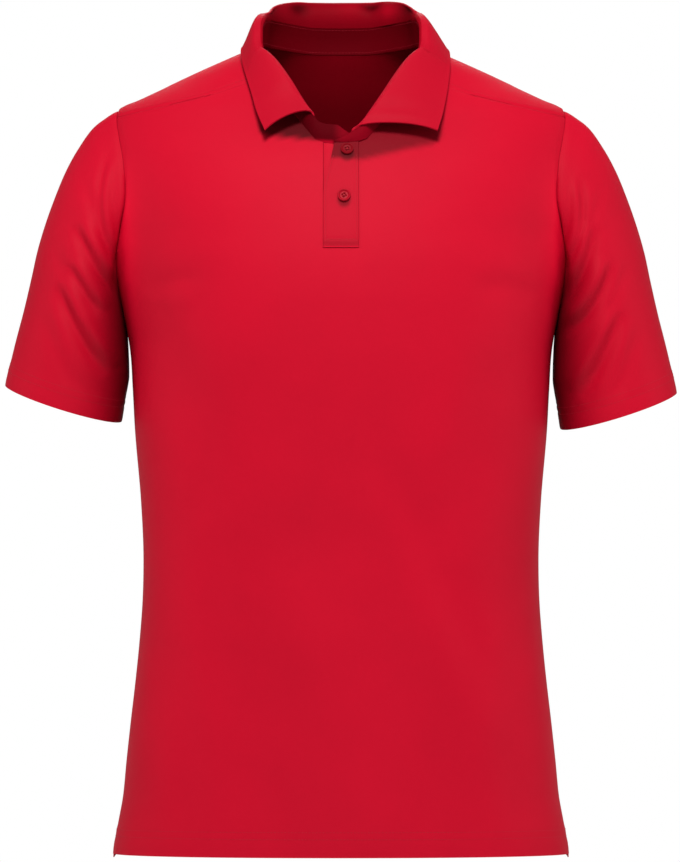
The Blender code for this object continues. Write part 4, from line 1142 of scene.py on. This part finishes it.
def newFinish(name, colour, roughness, specular, sheen=0.0):
    # a material with its constants set on the shader's own sockets
    material = bpy.data.materials.new(name)
    material.use_nodes = True
    material.diffuse_color = (*colour, 1.0)
    shader = material.node_tree.nodes["Principled BSDF"]
    for key, value in (("Base Color", (*colour, 1.0)), ("Roughness", roughness),
                       ("Specular IOR Level", specular), ("Sheen Weight", sheen),
                       ("Sheen Roughness", 0.35), ("Sheen Tint", (*finish["sheenTint"], 1.0))):
        shader.inputs[key].default_value = value
    return material, material.node_tree, shader


def knitFinish(name, colour, specular):
    # a smooth fine knit: columns of small V stitches in the bump, from the flat cloth's UV map,
    # over a faint mottle in the dye and a soft unevenness of the surface
    material, tree, shader = newFinish(name, colour, 0.60, specular)
    link = tree.links.new
    flat = addNode(tree, "ShaderNodeUVMap", {}, uv_map="clothMap").outputs["UV"]
    split = addNode(tree, "ShaderNodeSeparateXYZ", {0: flat})
    across = mathNode(tree, "DIVIDE", split.outputs["X"], finish["wale"])
    down = mathNode(tree, "DIVIDE", split.outputs["Y"], finish["course"])
    slanted = mathNode(tree, "ADD", down, mathNode(tree, "PINGPONG", across, 0.5))
    wave = mathNode(tree, "SINE", mathNode(tree, "MULTIPLY", slanted, 2 * math.pi))
    groove = mathNode(tree, "SINE", mathNode(tree, "MULTIPLY", across, 2 * math.pi))
    stitches = mathNode(tree, "ADD", wave, mathNode(tree, "MULTIPLY", groove, 0.7))
    mottle = noiseNode(tree, Scale=9.0, Detail=3.0).outputs["Fac"]
    fibre = noiseNode(tree, Scale=900.0, Detail=2.0)
    dye = rampNode(tree, mottle, colour, finish["dyeRange"], (0.3, 0.7))
    dye = multiplied(tree, 0.10, dye, fibre.outputs["Color"])
    # the colour times the shade attribute: painted shade and painted light
    kept = addNode(tree, "ShaderNodeAttribute", {}, attribute_name="shade").outputs["Fac"]
    link(multiplied(tree, 1.0, dye, kept), shader.inputs["Base Color"])
    link(rangeNode(tree, fibre.outputs["Fac"], finish["knitGloss"]), shader.inputs["Roughness"])
    knit = bumpNode(tree, stitches, finish["knitRelief"])
    link(bumpNode(tree, mottle, finish["unevenRelief"], Normal=knit), shader.inputs["Normal"])
    return material


def buttonFinish(name, colour):
    # dyed plastic with faint swirls in the colour and small scuffs in the gloss
    material, tree, shader = newFinish(name, colour, 0.55, 0.05)
    swirl = noiseNode(tree, Scale=260.0, Distortion=1.5).outputs["Fac"]
    tree.links.new(rampNode(tree, swirl, colour, finish["swirlRange"]), shader.inputs["Base Color"])
    tree.links.new(rangeNode(tree, swirl, finish["buttonGloss"]), shader.inputs["Roughness"])
    return material


def threadFinish():
    # polyester thread: its twist is a fine slanted wave
    material, tree, shader = newFinish("threadDye", finish["threadRed"], 0.55, 0.25, 0.2)
    where = addNode(tree, "ShaderNodeTexCoord", {}).outputs["Object"]
    wave = {"Vector": where, "Scale": 900.0}
    twist = addNode(tree, "ShaderNodeTexWave", wave, bands_direction="DIAGONAL")
    relief = bumpNode(tree, twist.outputs["Fac"], finish["twistRelief"])
    tree.links.new(relief, shader.inputs["Normal"])
    return material


clothOuter = knitFinish("redKnit", finish["red"], 0.05)
# painted shade: a copy of the knit with weaker gloss, for the stand that lies in the collar's shade
clothShaded = knitFinish("redKnitShaded", finish["red"], 0.01)
# the inner faces take a red painted darker: painted shade inside the shirt
clothInner = knitFinish("redKnitInsideShade", finish["insideShadeRed"], 0.01)
# the leaf's inner side takes a red painted darker: painted shade
clothTurned = knitFinish("redKnitTurnedShade", finish["turnedShadeRed"], 0.015)
# the top button is painted darker for the collar's shadow over it: painted shade
buttonDyes = {
    "button_top": buttonFinish("buttonDyeShaded", finish["buttonShaded"]),
    "button_lower": buttonFinish("buttonDye", finish["buttonRed"]),
}
threadDye = threadFinish()
both = [clothOuter, clothInner]
print("finishes made")


# Making the shirt


def declare(node):
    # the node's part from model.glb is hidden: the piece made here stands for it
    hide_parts(node)


front, back, frontOut, backOut, frontCut, backCut, sleeveRings, armholeOut = cutPanels()
stand, standOut, stations, outwards = layStand(front, back, frontOut, backOut, frontCut, backCut)
leaf, leafOut, leafShade = layLeaf(stand, standOut, stations, outwards)
front, back = front + frontCut, back + backCut
print("panels cut")

# the front, slit for the placket above the placket's end
middleLevel = front[:, :1, 2]
centre = bodyPoint(0.0 * middleLevel, middleLevel, True)
centreOut = bodyNormal(0.0 * middleLevel, middleLevel, True)
frontGrid = np.concatenate([mirrored(front), centre, front], axis=1)
frontWay = np.concatenate([mirrored(frontOut), centreOut, frontOut], axis=1)
frontGrid = frontGrid + frontWay * panelRelief(frontGrid, frontWay, True)[..., None]
uncut = np.ones((frontGrid.shape[0] - 1, frontGrid.shape[1] - 1), bool)
uncut[body["lowerRows"] + body["chestRows"]:, body["columns"]:body["columns"] + 2] = False
frontPiece = gridShell("front_panel", frontGrid, frontWay, body["cloth"], both, uncut,
                       shade=collarShade(frontGrid) * armholeLight(frontGrid))

# the back comes over the shoulders, and its halves join along the middle
lowerBack = slice(0, body["lowerRows"] + body["backRows"] + 1)
back[lowerBack, 0, 0] = 0.0
backOut[lowerBack, 0, 0] = 0.0
backGrid = np.concatenate([mirrored(back), back], axis=1)
backWay = unitVectors(np.concatenate([mirrored(backOut), backOut], axis=1))
backGrid = backGrid + backWay * panelRelief(backGrid, backWay, False)[..., None]
uncut = np.ones((backGrid.shape[0] - 1, backGrid.shape[1] - 1), bool)
uncut[:, body["columns"]] = False
backPiece = gridShell("back_panel", backGrid, backWay, body["cloth"], both, uncut)
print("front and back made")

sleeves = {}
for side, word in ((-1, "right"), (1, "left")):
    made = makeSleeve("sleeve_" + word + "_tube", side, sleeveRings.copy(), armholeOut)
    sleeves[side] = made
    declare("sleeve_" + word)
declare("front")
declare("back")
print("sleeves made")

# the stand takes the knit copy with weaker gloss, for the shade it lies in, and painted shade under the
# collar and inside the back of the neck
standCloth = [clothShaded, clothInner]
standPiece = gridShell("collar_stand_band", stand, standOut, collar["wall"], standCloth,
                       shade=collarShade(stand) * (1 - shading["standBack"] * insideNeck(stand)))
declare("collar_stand")
crest = collar["riseRows"]
leafRow = np.arange(len(leaf))[:, None]
rising = np.clip((crest - leafRow) / 5.0, 0, 1)
# painted shade on the leaf's standing part, inside the back of the neck
leafShade = leafShade * (1 - shading["leafBack"] * rising * insideNeck(leaf))
# the leaf's inner side, up to just short of its crest, takes the turned red: painted shade
turned = leafRow[:-1] < np.where(leaf[crest, :-1, 1] > 25.0, crest - 2, crest - 7)
leafCloth = [clothOuter, clothOuter, clothTurned]
leafPiece = gridShell("collar_leaf_fold", leaf, leafOut, collar["wall"], leafCloth,
                      turned=turned, shade=leafShade)
declare("collar_leaf")
upper, upperOut = layBand(placketEdge, 1)
under, underOut = layBand(None, -1)
upperPiece = gridShell("placket_upper_band", upper, upperOut, placket["wall"], both,
                       shade=collarShade(upper, 0.0) * bandShade(upper))
underPiece = gridShell("placket_under_band", under, underOut, placket["wall"], both,
                       shade=collarShade(under))
declare("placket_upper")
declare("placket_under")
print("collar and placket made")

for name, (x, z) in button["centres"].items():
    way = bodyNormal(x, z, True)
    seat = bodyPoint(x, z, True) + way * (lapStep(placket["apart"]) + body["seamGap"])
    makeButton(name, seat, way)
print("buttons made")

# the stitching that shows: twin rows on the hems and cuffs, a row beside the shoulder seam, rows along
# the placket's edges and box, and a row along each edge of the stand
rows = []
for grid, way in ((frontGrid, frontWay), (backGrid, backWay)):
    rows += [lineAcross(grid, way, body["hemFold"] - gap, 0, slice(1, -1)) for gap in body["twinRows"]]
stitchLines("hem_stitches", rows)
for side, word in ((-1, "right"), (1, "left")):
    rings, way = sleeves[side][1:]
    rows = []
    for gap in body["twinRows"]:
        points, out = lineAcross(rings, way, sleeve["hemFold"] - gap, -1)
        rows.append((np.concatenate([points, points[:1]]), np.concatenate([out, out[:1]])))
    stitchLines("cuff_stitches_" + word, rows)
half = body["columns"] + 1
bothHalves = (slice(2, half - 2), slice(half + 2, -2))
rows = [lineAcross(backGrid, backWay, stitch["fromShoulder"], -1, part) for part in bothHalves]
stitchLines("shoulder_stitches", rows)
rows = [lineDown(upper, upperOut, placket["stitchIn"], edge, slice(3, -8)) for edge in (0, -1)]
for high in (placket["stitchIn"], placket["boxFoot"]):
    rows.append(lineAcross(upper, upperOut, high, 0, slice(2, -2)))
stitchLines("placket_stitches", rows)
rows = []
for edge in (0, -1):
    points, out = lineAcross(stand, standOut, stitch["fromStandEdge"], edge, slice(12, -12))
    rows.append((points - out * collar["wall"], -out))
stitchLines("collar_stand_stitches", rows)
print("stitches made")


# The floor, the light and the camera

studio = {
    "floorLevel": -1.3, "floorReach": 5.0, "floorSides": 48, "floorGlow": 0.1,
    "floorColour": (0.93, 0.93, 0.93, 1.0), "room": 0.38, "seenRoom": 1.0,
    # place, size and power of each soft light
    "lights": {
        "keyLight": ((0.0, -1.5, 1.45), 0.6, 68.0),
        "fillLight": ((0.0, -3.0, -0.7), 1.2, 10.0),
        "rightLight": ((-2.4, -0.6, 0.2), 1.2, 20.0),
        "leftLight": ((2.4, -0.6, 0.2), 1.2, 23.0),
        "backLight": ((0.0, 2.2, 1.6), 1.2, 30.0),
    },
    "aim": (0.0, 0.0, -0.3),                # what every light faces
    "distance": 4.0, "level": -0.342, "metresHigh": 0.7646, "sensor": 36.0,
    "pixelsRight": 1.0, "pixelsHigh": 862,
}


def makeFloor():
    # a pale round floor, well below the hem and wider than the picture
    mesh = bpy.data.meshes.new("floor")
    reach, level = studio["floorReach"], studio["floorLevel"]
    angle = np.linspace(0, 2 * np.pi, studio["floorSides"], endpoint=False)
    points = np.stack([reach * np.cos(angle), reach * np.sin(angle), level + 0 * angle], axis=1)
    mesh.from_pydata(points.tolist(), [], [list(range(len(angle)))])
    material = bpy.data.materials.new("paleFloor")
    material.use_nodes = True
    shader = material.node_tree.nodes["Principled BSDF"]
    shader.inputs["Base Color"].default_value = studio["floorColour"]
    shader.inputs["Roughness"].default_value = 0.9
    shader.inputs["Emission Color"].default_value = (1.0, 1.0, 1.0, 1.0)
    shader.inputs["Emission Strength"].default_value = studio["floorGlow"]
    mesh.materials.append(material)
    floor = bpy.data.objects.new("floor", mesh)
    bpy.context.scene.collection.objects.link(floor)


def makeLights():
    # the room is seen white, and lights the cloth from all sides more weakly
    world = bpy.data.worlds.new("paleRoom")
    world.use_nodes = True
    tree = world.node_tree
    sky = tree.nodes["Background"]
    sky.inputs["Color"].default_value = (1.0, 1.0, 1.0, 1.0)
    seen = addNode(tree, "ShaderNodeLightPath", {}).outputs["Is Camera Ray"]
    strength = rangeNode(tree, seen, (studio["room"], studio["seenRoom"]))
    tree.links.new(strength, sky.inputs["Strength"])
    bpy.context.scene.world = world
    for name, (place, size, power) in studio["lights"].items():
        lamp = bpy.data.lights.new(name, "AREA")
        lamp.size, lamp.energy = size, power
        thing = bpy.data.objects.new(name, lamp)
        thing.location = place
        aim = np.array(studio["aim"]) - np.array(place)
        tilt = math.atan2(math.hypot(aim[0], aim[1]), -aim[2])
        thing.rotation_euler = (tilt, 0.0, math.atan2(-aim[0], aim[1]))
        bpy.context.scene.collection.objects.link(thing)


def makeCamera():
    # level with the middle of the picture, square to the front; the height of the picture at the
    # shirt's middle sets the lens, and a shift of pixelsRight of its pixels sets the middle
    lens = bpy.data.cameras.new("camera")
    lens.sensor_width = studio["sensor"]
    lens.lens = lens.sensor_width * studio["distance"] / studio["metresHigh"]
    lens.shift_x = -studio["pixelsRight"] / studio["pixelsHigh"]
    lens.clip_start, lens.clip_end = 0.1, 100.0
    camera = bpy.data.objects.new("camera", lens)
    camera.location = (0.0, -studio["distance"], studio["level"])
    camera.rotation_euler = (math.pi / 2, 0.0, 0.0)
    bpy.context.scene.collection.objects.link(camera)
    bpy.context.scene.camera = camera


makeFloor()
makeLights()
makeCamera()
bpy.context.scene.view_settings.view_transform = "Standard"
print("studio made")
